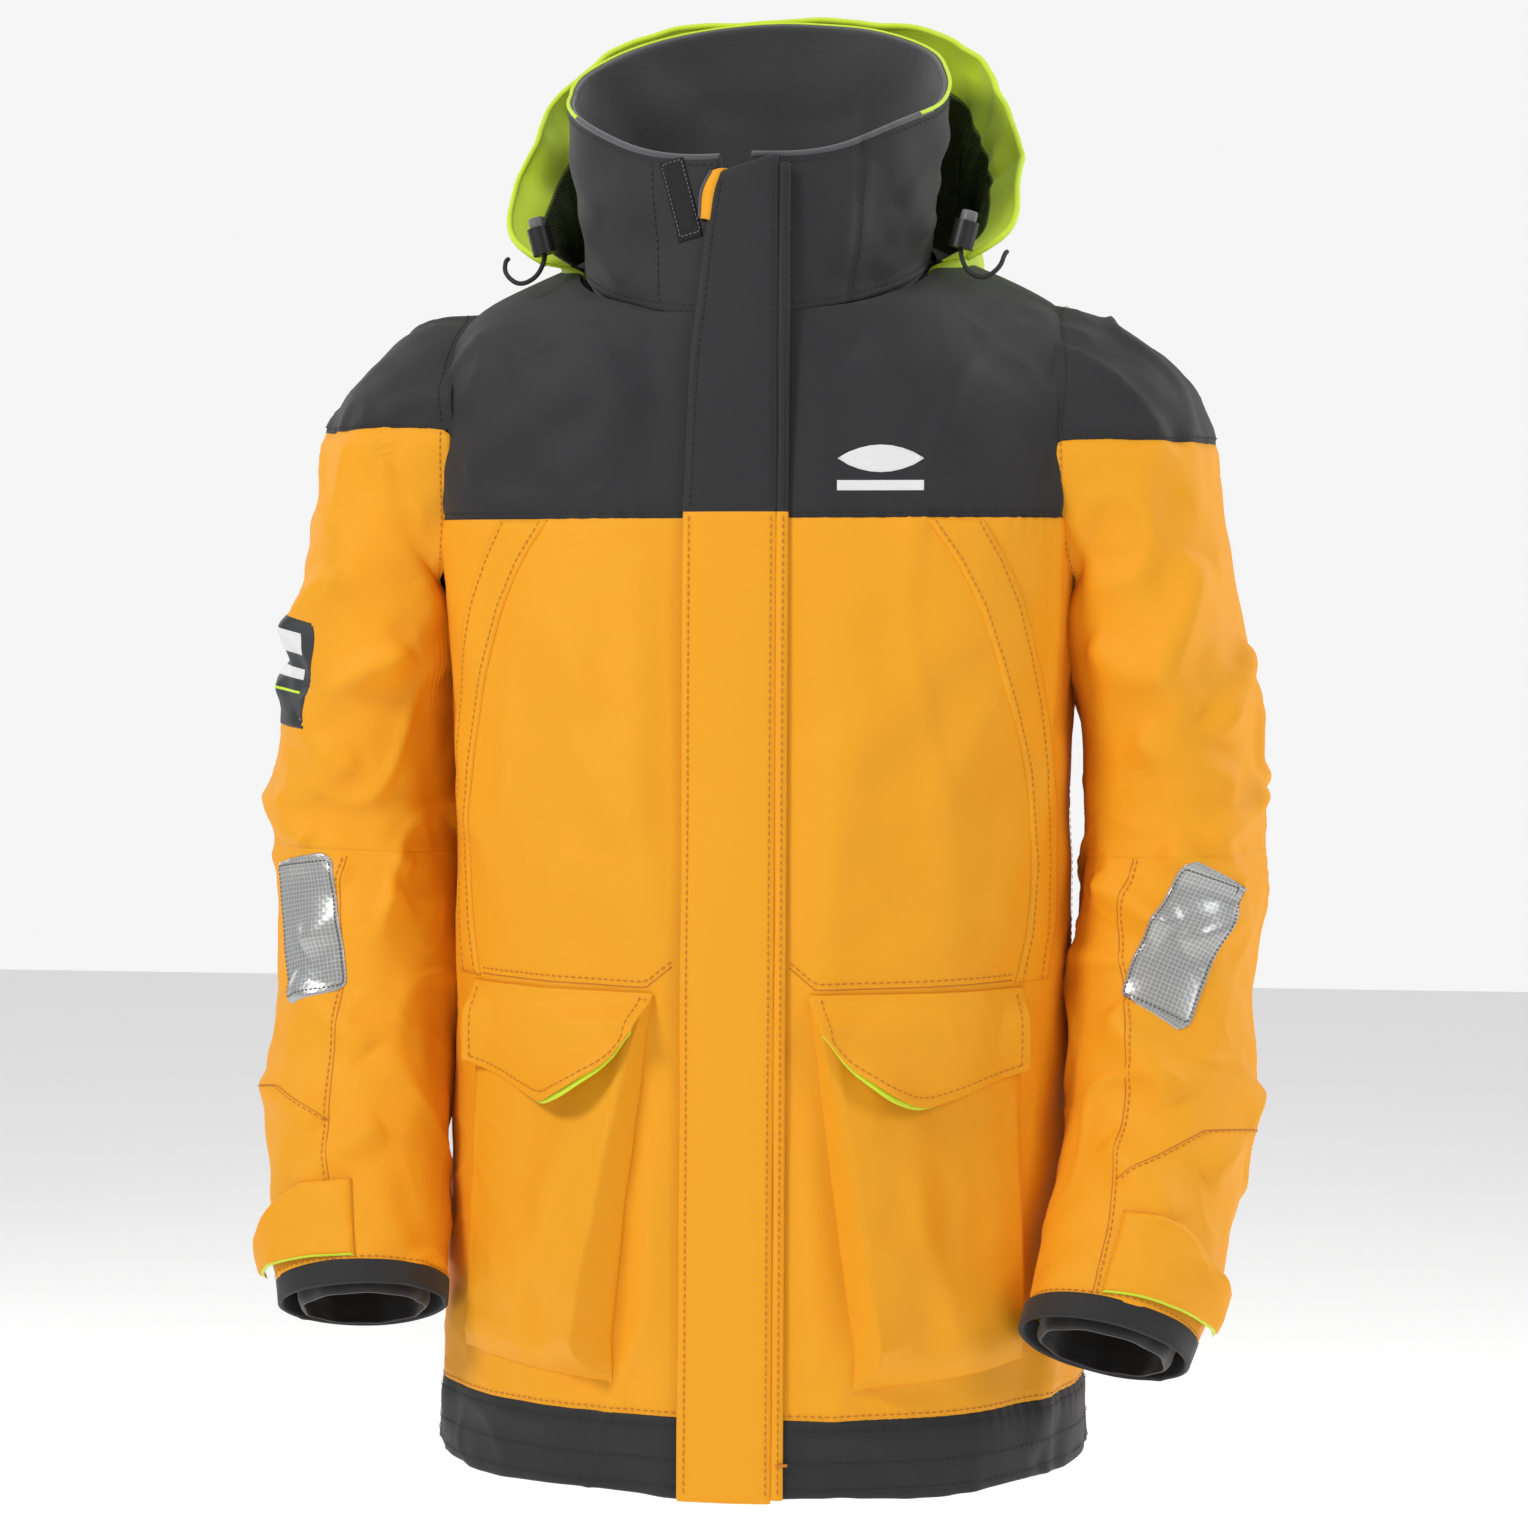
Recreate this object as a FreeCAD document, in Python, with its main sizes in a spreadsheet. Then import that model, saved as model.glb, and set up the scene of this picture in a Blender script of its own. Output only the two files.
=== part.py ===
"""Foul weather jacket as a parametric FreeCAD document.

Row frame in millimetres: +Z up, the front faces -Y, the wearer's left is +X. The origin is the
point where a peg bears on the hang loop inside the back of the collar. Soft panels are closed
shells of their true outer shape. Every moving piece is clear of what it moves against.
"""

import math
import os

import FreeCAD
import Part

Vector = FreeCAD.Vector
Rotation = FreeCAD.Rotation
Placement = FreeCAD.Placement
X_AXIS, Y_AXIS, Z_AXIS = Vector(1, 0, 0), Vector(0, 1, 0), Vector(0, 0, 1)
SIDES = (("left", 1), ("right", -1))

doc = FreeCAD.newDocument("foul_weather_jacket")
dims = doc.addObject("Spreadsheet::Sheet", "dims")
values = {}
next_row = [1]


def cell(alias, value):
    """Writes one driving dimension to the sheet under its alias."""
    address = "A%d" % next_row[0]
    dims.set(address, str(value))
    dims.setAlias(address, alias)
    values[alias] = float(value)
    next_row[0] += 1


# Torso rings, hem to neck: height, half width, half depth, middle in Y, tilt raising the back.
TORSO_RINGS = (
    ("hem", -807, 207, 165, -61, 0),
    ("hip", -657, 204, 158, -61.5, 0),
    ("waist", -507, 196, 150, -63, 0),
    ("rib", -357, 195, 147, -59.5, 0),
    ("chest", -227, 200, 145, -56, 0),
    ("armhole", -152, 212, 140, -59.9, 8),
    ("shoulder", -105, 200, 130, -69.6, 12),
    ("nape", -75, 150, 122, -79.2, 17),
    ("neck", -52, 109, 108.5, -93.8, 21),
)
COLLAR_RINGS = (
    ("neck", -52, 109, 108.5, -93.8, 21),
    ("collartop", 60, 121, 119.5, -86, 28.5),
)
# Sleeve rings: distance out from the middle, Y, height, half width, half depth, tilt outwards
# from horizontal and tilt forwards. The two forearms hang a little differently.
UPPER_RINGS = (
    ("cap", 191, -60, -190, 80, 84, 90, 0),
    ("deltoid", 244, -60, -234, 66, 84, 45, 0),
    ("biceps", 264, -58, -335, 58, 80, 6, 0),
    ("elbowtop", 258, -58, -420, 58, 74, 2, 0),
)
FOREARM_RINGS = {
    "left": (
        ("elbow", 258, -58, -424, 58, 74, 2, 0),
        ("midarm", 256, -104, -560, 58, 62, -5, 18),
        ("wrist", 225, -196, -715, 52, 50, -12, 30),
    ),
    "right": (
        ("elbow", 258, -58, -424, 58, 74, 2, 0),
        ("midarm", 256, -100, -560, 58, 62, -3, 18),
        ("wrist", 238, -176, -705, 52, 50, -6, 26),
    ),
}

for alias, value in (
    ("wall", 2.4),  # outer fabric with its backing
    ("lining", 2.2),
    ("skin", 1.2),  # pieces sewn flat on top of a panel
    ("hemtop", -762),  # seam between the hem band and the panels
    ("yokeseam", -212),
    ("frontgap", 8),  # from the middle to each front edge
    ("armholeplane", 189),
    ("lean", 2.474),  # the front edge leans back by this angle
    ("zipfoot", -226),  # Y of the front edge at the hem
    ("flaphalf", 30),
    ("flapthick", 2.0),
    ("flapstitch", 26),  # X of the storm flap's stitch line
    ("tapewidth", 13),
    ("teethwidth", 3.2),
    ("teethpitch", 6),
    ("toothheight", 3.6),
    ("slidergap", 0.8),  # from the middle to the teeth
    ("sliderwidth", 11),
    ("sliderheight", 14),
    ("pocketwidth", 140),
    ("pocketangle", 29.5),  # turn of the pocket about the body
    ("pocketmouth", -533),
    ("pocketfoot", -735),
    ("pocketdepth", 43),  # in front of the panel at the end by the zip
    ("pocketshallow", 12),  # and at the end by the sleeve
    ("pocketstand", 14),  # how far the panel bulges in front of the pocket's chord
    ("flapdrop", 62),
    ("cuffbind", 14),
    ("tabthick", 2.0),
    ("hoodradius", 262),
    ("hoodhalf", 165),
    ("hoodwall", 2.0),
    ("hoodlow", -20),  # lowest angle of the stowed hood about its hinge
    ("hoodhigh", 48),
    ("hoodhingey", -126),
    ("hoodhingez", -72),
    ("cordthick", 3.0),
    ("lockradius", 7.5),
    ("locklength", 17),
    ("looptape", 6),
    ("loophalf", 24),
    ("loopthick", 1.4),
):
    cell(alias, value)

RING_WORDS = ("height", "width", "depth", "middle", "tilt")
for ring in TORSO_RINGS + COLLAR_RINGS[1:]:
    for word, value in zip(RING_WORDS, ring[1:]):
        cell(ring[0] + word, value)
ARM_WORDS = ("out", "fore", "height", "width", "depth", "splay", "swing")
for ring in UPPER_RINGS:
    for word, value in zip(ARM_WORDS, ring[1:]):
        cell(ring[0] + word, value)
for side, rings in FOREARM_RINGS.items():
    for ring in rings:
        for word, value in zip(ARM_WORDS, ring[1:]):
            cell(side + ring[0] + word, value)
doc.recompute()
V = values


def front_y(z):
    """Y of the straight front edge at a height."""
    return V["zipfoot"] + math.tan(math.radians(V["lean"])) * (z - V["hemheight"])


# ---- small builders -------------------------------------------------------------------------


def add(kind, label):
    made = doc.addObject(kind, label)
    made.Label = label
    return made


def ellipse(name, centre, radii, rotation, inset):
    """One ring of a loft, shrunk by inset, in two halves that meet at the front and the back.

    The loft's own seams then lie clear of the flanks, where panels are cut apart.
    """
    width, depth = (radius - inset for radius in radii)
    if width >= depth:
        curve, start = Part.Ellipse(Vector(), width, depth), -math.pi / 2
    else:
        curve, start = Part.Ellipse(Vector(), depth, width), math.pi
        rotation = rotation.multiply(Rotation(Z_AXIS, 90))
    halves = [
        Part.ArcOfEllipse(curve, start + turn, start + turn + math.pi).toShape()
        for turn in (0, math.pi)
    ]
    ring = add("Part::Feature", name)
    ring.Shape = Part.Wire(halves)
    ring.Placement = Placement(Vector(*centre), rotation)
    return ring


def loft(name, rings, ruled=False):
    solid = add("Part::Loft", name)
    solid.Sections = rings
    solid.Solid = True
    solid.Ruled = ruled
    return solid


def binary(kind, label, base, tool):
    made = add(kind, label)
    made.Base, made.Tool = base, tool
    return made


def cut(label, base, tool):
    return binary("Part::Cut", label, base, tool)


def common(label, base, tool):
    return binary("Part::Common", label, base, tool)


def box(label, low, high):
    """A block between two corners."""
    block = add("Part::Box", label)
    block.Length, block.Width, block.Height = (b - a for a, b in zip(low, high))
    block.Placement.Base = Vector(*low)
    return block


def outline(label, points, placement, length, alias=None):
    """A PartDesign body: a closed outline in its own XY plane, padded along its own Z."""
    body = add("PartDesign::Body", label)
    plane = [f for f in body.Origin.OriginFeatures if f.Role == "XY_Plane"][0]
    sketch = body.newObject("Sketcher::SketchObject", label + "_outline")
    sketch.AttachmentSupport = (plane, [""])
    sketch.MapMode = "FlatFace"
    count = len(points)
    for index in range(count):
        start, end = points[index], points[(index + 1) % count]
        sketch.addGeometry(Part.LineSegment(Vector(*start, 0), Vector(*end, 0)), False)
    pad = body.newObject("PartDesign::Pad", label + "_pad")
    pad.Profile = sketch
    pad.Length = length
    if alias:
        pad.setExpression("Length", "dims." + alias)
    body.Placement = placement
    return body


def feature(label, shape, placement=None):
    """A sub-part whose shape neither PartDesign nor a primitive describes well."""
    made = add("Part::Feature", label)
    made.Shape = shape
    if placement is not None:
        made.Placement = placement
    return made


# ---- torso ----------------------------------------------------------------------------------


def torso_rings(tag, rings, inset):
    return [ring_ellipse(tag, ring, inset) for ring in rings]


def past_end(near, last, step=10):
    """The ring that carries on from near through last, step further along the height."""
    share = step / abs(last[1] - near[1])
    return (last[0],) + tuple(b + (b - a) * share for a, b in zip(near[1:], last[1:]))


def ring_ellipse(tag, ring, inset):
    name, height, width, depth, middle, tilt = ring
    turn = Rotation(X_AXIS, tilt)
    return ellipse(tag + "_" + name, (0, middle, height), (width, depth), turn, inset)


def core_rings(tag, rings, inset):
    """Inner rings whose first and last run past the mouths, so that a cut leaves both open."""
    first, last = past_end(rings[1], rings[0]), past_end(rings[-2], rings[-1])
    run = [first] + list(rings[1:-1]) + [last]
    return [ring_ellipse(tag, ring, inset) for ring in run]


def torso_loft(name, inset):
    rings = torso_rings(name, TORSO_RINGS, inset)
    return loft(name, rings)


def torso_core(name, inset):
    return loft(name, core_rings(name, TORSO_RINGS, inset))


def build_torso():
    outer = torso_loft("torso_outer", 0)
    tube = cut("torso_tube", outer, torso_core("torso_inner", V["wall"]))
    far = 400
    gap, plane = V["frontgap"], V["armholeplane"]
    gap_box = box("front_gap", (-gap, -far, -900), (gap, -100, 100))
    sleeve_side = [
        box("armhole_" + s, (min(k * plane, k * far), -far, -296), (max(k * plane, k * far), far, 100))
        for s, k in SIDES
    ]
    open_front = cut("torso_open_front", tube, gap_box)
    open_left = cut("torso_open_left", open_front, sleeve_side[0])
    shell = cut("torso_shell", open_left, sleeve_side[1])
    hem, yoke = V["hemtop"], V["yokeseam"]
    side_y = -60  # side seams run up the flanks at this Y
    regions = {
        "hem_band": ((-far, -far, -900), (far, far, hem)),
        "back_panel": ((-far, side_y, hem), (far, far, yoke)),
        "front_panel_left": ((0, -far, hem), (far, side_y, yoke)),
        "front_panel_right": ((-far, -far, hem), (0, side_y, yoke)),
        "back_yoke": ((-far, side_y, yoke), (far, far, 100)),
        "front_yoke_left": ((0, -far, yoke), (far, side_y, 100)),
        "front_yoke_right": ((-far, -far, yoke), (0, side_y, 100)),
    }
    for label, (low, high) in regions.items():
        common(label, shell, box(label + "_region", low, high))
    lining_tube = cut(
        "lining_tube",
        torso_loft("lining_outer", V["wall"] + 1.4),
        torso_core("lining_inner", V["wall"] + 2.4),
    )
    lining_open = cut(
        "lining_open", lining_tube, box("lining_gap", (-46, -far, -900), (46, -90, 100))
    )
    common(
        "body_lining",
        lining_open,
        box("lining_region", (-far, -far, -757), (far, far, -335)),
    )


def build_collar():
    def collar(name, inset, run_past):
        make = core_rings if run_past else torso_rings
        return loft(name, make(name, COLLAR_RINGS, inset), True)

    gap = V["frontgap"]
    low, high = (-gap, -400, -200), (gap, -100, 200)
    shell_tube = cut(
        "collar_tube", collar("collar_outer", 0, False), collar("collar_core", V["wall"], True)
    )
    cut("collar_shell", shell_tube, box("collar_gap", low, high))
    lining_tube = cut(
        "collar_lining_tube",
        collar("collar_lining_outer", V["wall"] + 0.4, False),
        collar("collar_lining_core", V["wall"] + V["lining"], True),
    )
    wide = 2.6 * gap
    cut(
        "collar_lining",
        lining_tube,
        box("collar_lining_gap", (-wide, -400, -200), (wide, -100, 200)),
    )


def build_hang_loop():
    """Tape arch standing off the collar lining, in the horizontal plane."""
    half, thick = V["loophalf"], V["loopthick"]
    foot, arch = 1.2, -3.0
    points = [
        (-half, foot),
        (-half + 3, foot),
        (-half + 8, arch),
        (half - 8, arch),
        (half - 3, foot),
        (half, foot),
        (half - 5, arch - thick),
        (-half + 5, arch - thick),
    ]
    tape = V["looptape"]
    outline("hang_loop", points, Placement(Vector(0, 0, -tape / 2), Rotation()), tape, "looptape")


# ---- front closure --------------------------------------------------------------------------


def on_front(x, depth, height):
    """A placement whose XY plane is the leaning front: own X sideways, own Y up, own Z outwards."""
    turn = Rotation(X_AXIS, 90 - V["lean"])
    return Placement(Vector(x, front_y(height) + depth, height), turn)


def up_front(z):
    """Length along the leaning front edge from the hem to a height."""
    return (z - V["hemheight"]) / math.cos(math.radians(V["lean"]))


def build_front():
    hem = V["hemheight"]
    gap = V["frontgap"]
    length = up_front(0)
    tape_depth = V["wall"] + 1.8
    teeth = V["slidergap"]
    for side, k in SIDES:
        inner = teeth + V["teethwidth"]
        tape = [(k * inner, 6), (k * (inner + V["tapewidth"]), 6)]
        tape += [(x, length - 8) for x, _ in reversed(tape)]
        outline("zip_tape_" + side, tape, on_front(0, tape_depth + 0.9, hem), 0.9)
        comb = [(k * inner, 8)]
        pitch, tooth = V["teethpitch"], V["toothheight"]
        count = int((length - 26) / pitch)
        for index in range(count):
            low = 9 + index * pitch
            for x, y in ((inner - 1.6, low), (teeth, low + 0.5), (teeth, low + tooth - 0.5)):
                comb.append((k * x, y))
            comb.append((k * (inner - 1.6), low + tooth))
        comb.append((k * inner, 9 + count * pitch))
        outline("zip_teeth_" + side, comb, on_front(0, tape_depth + 1.6, hem), 2.4)
    outline(
        "zip_box",
        [(-6, -2), (6, -2), (6, 5.5), (-6, 5.5)],
        on_front(0, tape_depth + 2.2, hem),
        4.2,
    )
    # Wind flap behind the zip, so that water that passes the teeth runs down inside it.
    outline(
        "wind_flap",
        [(-26, 4), (26, 4), (26, length - 30), (-26, length - 30)],
        on_front(0, tape_depth + 12.5, hem),
        1.6,
    )
    # Slider: two plates and the bridge between the two rows of teeth.
    wide, high = V["sliderwidth"], V["sliderheight"]
    turn = on_front(0, 0, V["sliderheight_at"])
    plates = []
    for tag, depth, thick in (("face", tape_depth - 1.0, 1.2), ("back", tape_depth + 3.0, 1.2)):
        plate = box("slider_" + tag, (-wide / 2, 0, -thick), (wide / 2, high, 0))
        plate.setExpression("Length", "dims.sliderwidth")
        plate.setExpression("Width", "dims.sliderheight")
        base = on_front(0, depth, V["sliderheight_at"])
        plate.Placement = base.multiply(Placement(Vector(-wide / 2, 0, 0), Rotation()))
        plates.append(plate)
    bridge = box("slider_bridge", (0, 0, 0), (1, 3, 3.1))
    bridge.Placement = on_front(0, tape_depth + 1.9, V["sliderheight_at"]).multiply(
        Placement(Vector(-0.5, high - 4, 0), Rotation())
    )
    lug = box("slider_lug", (0, 0, 0), (3, 3, 1.3))
    lug.Placement = on_front(0, tape_depth - 2.1, V["sliderheight_at"]).multiply(
        Placement(Vector(-1.5, 9.8, 0), Rotation())
    )
    body = add("Part::MultiFuse", "zip_slider")
    body.Shapes = plates + [bridge, lug]
    # Pull tab hanging from the lug.
    ring = [(-4, -26), (4, -26), (4, 3.6), (-4, 3.6)]
    hole = box("pull_slot", (-2.1, -3.2, -3), (2.1, 1.6, 3))
    blade = outline("pull_blade", ring, Placement(), 1.1)
    tab = cut("zip_pull", blade, hole)
    tab.Placement = on_front(0, tape_depth - 2.75, V["sliderheight_at"]).multiply(
        Placement(Vector(0, 12.2, 0), Rotation())
    )
    # Storm flap: sewn at its left edge, free at its right edge, dark above the yoke seam.
    seam, foot = V["yokeseam"], -2
    half, stitch = V["flaphalf"], V["flapstitch"]
    lower = [(-half, foot), (stitch, foot), (stitch, up_front(seam)), (-half, up_front(seam))]
    upper = [
        (-half, up_front(seam)),
        (stitch, up_front(seam)),
        (stitch, length + 3),
        (-0.35 * half, length - 8),
        (-0.55 * half, length - 40),
        (-0.85 * half, length - 120),
    ]
    out = -V["flapthick"] / 2 - 0.5
    for label, points in (("storm_flap_lower", lower), ("storm_flap_upper", upper)):
        outline(label, points, on_front(0, out, hem), V["flapthick"], "flapthick")
    strip = [(stitch + 0.8, foot), (half + 1.5, foot), (half + 1.5, length + 3), (stitch + 0.8, length + 3)]
    outline("storm_flap_seam", strip, on_front(0, out, hem), V["flapthick"], "flapthick")
    for index, low in enumerate((40, 200, 360, 520)):
        tab_low, tab_high = low, low + 60
        group_points = [(-half + 3, tab_low), (-half + 17, tab_low), (-half + 17, tab_high), (-half + 3, tab_high)]
        outline("hook_strip_%d" % index, group_points, on_front(0, out + 0.45, hem), 0.4)
    strips = add("Part::Compound", "storm_flap_hooks")
    strips.Links = [doc.getObject("hook_strip_%d" % i) for i in range(4)]


# ---- pockets --------------------------------------------------------------------------------


def pocket_frame(k, height):
    """Own X along the pocket away from the front edge, own Y up, own Z out of the body."""
    angle = V["pocketangle"]
    if k > 0:
        turn = Rotation(Z_AXIS, angle).multiply(Rotation(X_AXIS, 90))
        return Placement(Vector(43, -209.5, height), turn)
    turn = Rotation(Z_AXIS, -angle).multiply(Rotation(X_AXIS, 90))
    base = Placement(Vector(-43, -209.5, height), turn)
    return base.multiply(Placement(Vector(-V["pocketwidth"], 0, 0), Rotation()))


def pocket_profile(depth, mouth_out, inset, over):
    """Side view of the bag in own Z (out) and own Y (up)."""
    tall, front = V["pocketmouth"] - V["pocketfoot"], V["pocketstand"] + depth - inset
    return [
        Vector(0, tall + over, -30),
        Vector(0, tall + over, mouth_out - inset),
        Vector(0, 14 + inset, front),
        Vector(0, inset, front - 8),
        Vector(0, inset, -30),
    ]


def pocket_wedge(k, margin, over):
    """Solid wedge of the bag, deep at the end by the zip; margin insets it on every side."""
    width, rings = V["pocketwidth"], []
    deep_end, shallow_end = (0, width) if k > 0 else (width, 0)
    ends = sorted(((deep_end, V["pocketdepth"], 19), (shallow_end, V["pocketshallow"], 12)))
    for (x, depth, mouth_out), step in zip(ends, (margin, -margin)):
        points = [p + Vector(x + step, 0, 0) for p in pocket_profile(depth, mouth_out, margin, over)]
        rings.append(Part.makePolygon(points + points[:1]))
    return Part.makeLoft(rings, True, True)


def build_pockets():
    width, mouth, foot = V["pocketwidth"], V["pocketmouth"], V["pocketfoot"]
    for side, k in SIDES:
        bag = pocket_wedge(k, 0, 0).cut(pocket_wedge(k, V["wall"], 10))
        bag.Placement = pocket_frame(k, foot)
        pieces = sorted(bag.cut(outer_clear).Solids, key=lambda solid: solid.Volume)
        feature("pocket_bag_" + side, pieces[-1])
        # Flap: hangs from its seam and stands clear in front of the bag.
        lean = math.degrees(math.atan2(V["pocketstand"] + V["pocketdepth"] - 19, mouth - foot - 14))
        drop, turn_in = V["flapdrop"], math.degrees(math.atan2(7, width))
        points = [(3, -1), (width + 3, -1), (width + 3, -0.72 * drop), (0.46 * width, -drop),
                  (0.12 * width, -0.6 * drop), (3, -0.32 * drop)]
        pivot = 0 if k > 0 else width
        if k < 0:
            points = [(width - x, y) for x, y in points]
        hinge = pocket_frame(k, mouth + 16).multiply(
            Placement(Vector(pivot, 0, 19), Rotation(Y_AXIS, k * turn_in))
        )
        tip = hinge.multiply(Placement(Vector(-pivot, 0, 0), Rotation()))
        tip = tip.multiply(Placement(Vector(), Rotation(X_AXIS, -lean)))
        outline("pocket_flap_" + side, points, tip, 1.6)
        inside = [(width / 2 + 0.94 * (x - width / 2), -2 + 0.93 * (y + 1)) for x, y in points]
        liner = tip.multiply(Placement(Vector(0, 0, -0.9), Rotation()))
        outline("pocket_flap_lining_" + side, inside, liner, 0.8)
        print("pocket flap", side, hinge.Base, hinge.Rotation.multVec(X_AXIS))


def build_trim(torso_clear):
    """Pieces sewn flat on the torso: hand pocket welts, chest emblem and collar hook patch."""
    skin = cut("torso_skin", torso_loft("torso_skin_outer", -V["skin"]), torso_clear)
    for side, k in SIDES:
        edge = [(112, -216), (146, -216), (164, -330), (168, -500), (152, -500), (140, -330)]
        points = [(k * x, z) for x, z in edge]
        turn = Placement(Vector(0, -90, 0), Rotation(X_AXIS, 90))
        prism = outline("welt_prism_" + side, points, turn, 200)
        common("hand_pocket_welt_" + side, skin, prism)
    common("chest_emblem", skin, box("emblem_region", (62, -300, -200), (116, -100, -168)))
    patch = [(-7.5, -24), (7.5, -24), (7.5, 24), (-7.5, 24)]
    turn = Rotation(Z_AXIS, -19).multiply(Rotation(X_AXIS, 84)).multiply(Rotation(Z_AXIS, 10))
    outline("collar_hook_patch", patch, Placement(Vector(-38, -190.2, -22), turn), 1.0)


# ---- sleeves --------------------------------------------------------------------------------


def arm_rings(tag, k, rings, prefix, inset, steps=(0, 0)):
    """Rings of one sleeve; the end rings can be moved along their own axes by steps."""
    made = []
    last = len(rings) - 1
    for index, (name, *_) in enumerate(rings):
        out, fore, height, width, depth, splay, swing = (
            V[prefix + name + word] for word in ARM_WORDS
        )
        turn = Rotation(Y_AXIS, -k * splay).multiply(Rotation(X_AXIS, -swing))
        step = steps[0] if index == 0 else steps[1] if index == last else 0
        centre = Vector(k * out, fore, height) + turn.multVec(Vector(0, 0, step))
        made.append(ellipse(tag + "_" + name, centre, (width, depth), turn, inset))
    return made


def build_sleeve(side, k):
    lower = FOREARM_RINGS[side]

    def tube(tag, rings, prefix):
        body = loft(tag + "_outer", arm_rings(tag + "_o", k, rings, prefix, 0))
        core = loft(tag + "_core", arm_rings(tag + "_i", k, rings, prefix, V["wall"], (8, -8)))
        return cut(tag + "_tube", body, core)

    upper = tube("upper_" + side, UPPER_RINGS, "")
    low = tube("fore_" + side, lower, side)
    seam = -160
    common("sleeve_cap_" + side, upper, box("cap_region_" + side, (-400, -300, seam), (400, 200, 100)))
    common("upper_sleeve_" + side, upper, box("arm_region_" + side, (-400, -300, -500), (400, 200, seam)))
    # The last stretch of the forearm is the dark cuff binding.
    name, out, fore, height, width, depth, splay, swing = lower[-1]
    turn = Rotation(Y_AXIS, -k * splay).multiply(Rotation(X_AXIS, -swing))
    wrist = Placement(Vector(k * out, fore, height), turn)
    slab = box("cuff_slab_" + side, (0, 0, 0), (300, 300, V["cuffbind"]))
    slab.setExpression("Height", "dims.cuffbind")
    slab.Placement = wrist.multiply(Placement(Vector(-150, -150, 0), Rotation()))
    common("cuff_binding_" + side, low, slab)
    cut("forearm_" + side, low, slab)
    # Elastic inner cuff: a narrower tube inside the mouth of the sleeve.
    ring = add("Part::Cone", "inner_cuff_solid_" + side)
    ring.Radius1, ring.Radius2, ring.Height = 34, 42, 60
    hollow = add("Part::Cone", "inner_cuff_hollow_" + side)
    hollow.Radius1, hollow.Radius2, hollow.Height = 32, 40, 60
    for piece in (ring, hollow):
        piece.Placement = wrist.multiply(Placement(Vector(0, 0, 5), Rotation()))
    cut("inner_cuff_" + side, ring, hollow)
    # Retroreflective patch lying on the outside of the forearm.
    over = loft("patch_over_" + side, arm_rings("patch_" + side, k, lower, side, -V["skin"]))
    under = loft("patch_under_" + side, arm_rings("patch_u_" + side, k, lower, side, -0.2))
    skin = cut("patch_skin_" + side, over, under)
    spot = box("patch_region_" + side, (-26, -60, -52), (26, 60, 52))
    place = Placement(Vector(k * 282, -140, -500), Rotation(Y_AXIS, k * 14))
    if side == "right":
        place = Placement(Vector(k * 296, -128, -492), Rotation(Y_AXIS, 0))
    spot.Placement = place.multiply(Placement(Vector(-26, -60, -52), Rotation(Z_AXIS, 0)))
    common("reflector_" + side, skin, spot)
    # Wrist tab: lies round the outside of the cuff, hinged on its stitch line at the front.
    near = loft("tab_near_" + side, arm_rings("tab_n_" + side, k, lower, side, -3.5))
    away = V["tabthick"] + 3.5
    over = loft("tab_over_" + side, arm_rings("tab_o_" + side, k, lower, side, -away))
    points = [(k * x, y) for x, y in ((-4, 20), (54, 30), (60, 54), (-4, 80))]
    prism = outline("tab_prism_" + side, points, Placement(), 120)
    prism.Placement = wrist.multiply(Placement(Vector(), Rotation(X_AXIS, 90)))
    common("cuff_tab_" + side, cut("tab_shell_" + side, over, near), prism)
    if side == "right":
        over = loft("badge_over", arm_rings("badge", k, UPPER_RINGS, "", -V["skin"]))
        under = loft("badge_under", arm_rings("badge_u", k, UPPER_RINGS, "", -0.2))
        skin = cut("badge_skin", over, under)
        common("sleeve_badge", skin, box("badge_region", (-340, -106, -297), (-240, -58, -243)))


# ---- hood -----------------------------------------------------------------------------------


def hood_band(grow, thick, low, high):
    """Shell swept about the hinge line between two angles, open round each end of that line."""
    power, count = 2.7, 16

    def curve(extra):
        half, radius = V["hoodhalf"] + extra, V["hoodradius"] + extra
        points = []
        for index in range(count + 1):
            angle = math.radians(3 + 174 * index / count)
            across, out = math.cos(angle), math.sin(angle)
            x = math.copysign(half * abs(across) ** (2 / power), across)
            points.append(Vector(x, radius * out ** (2 / power), 0))
        spline = Part.BSplineCurve()
        spline.interpolate(points)
        return spline.toShape(), points[0], points[-1]

    outer_edge, outer_start, outer_end = curve(grow)
    inner_edge, inner_start, inner_end = curve(grow - thick)
    links = [Part.makeLine(outer_end, inner_end), Part.makeLine(inner_start, outer_start)]
    face = Part.Face(Part.Wire([outer_edge, links[0], inner_edge, links[1]]))
    face.rotate(Vector(), X_AXIS, low)
    return face.revolve(Vector(), X_AXIS, high - low)


def build_hood(keep_out):
    wall = V["hoodwall"]
    low, high = V["hoodlow"], V["hoodhigh"]
    hinge = Vector(0, V["hoodhingey"], V["hoodhingez"])
    for label, grow, thick, start, end in (
        ("hood_shell", 0, wall, low, high),
        ("hood_mesh_lining", -wall - 0.5, 1.0, low, high - 9),
        ("hood_brim", -wall - 0.5, 1.0, high - 8.8, high),
    ):
        shell = hood_band(grow, thick, start, end)
        shell.translate(hinge)
        pieces = sorted(shell.cut(keep_out).Solids, key=lambda solid: solid.Volume)
        feature(label, pieces[-1])


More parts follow.
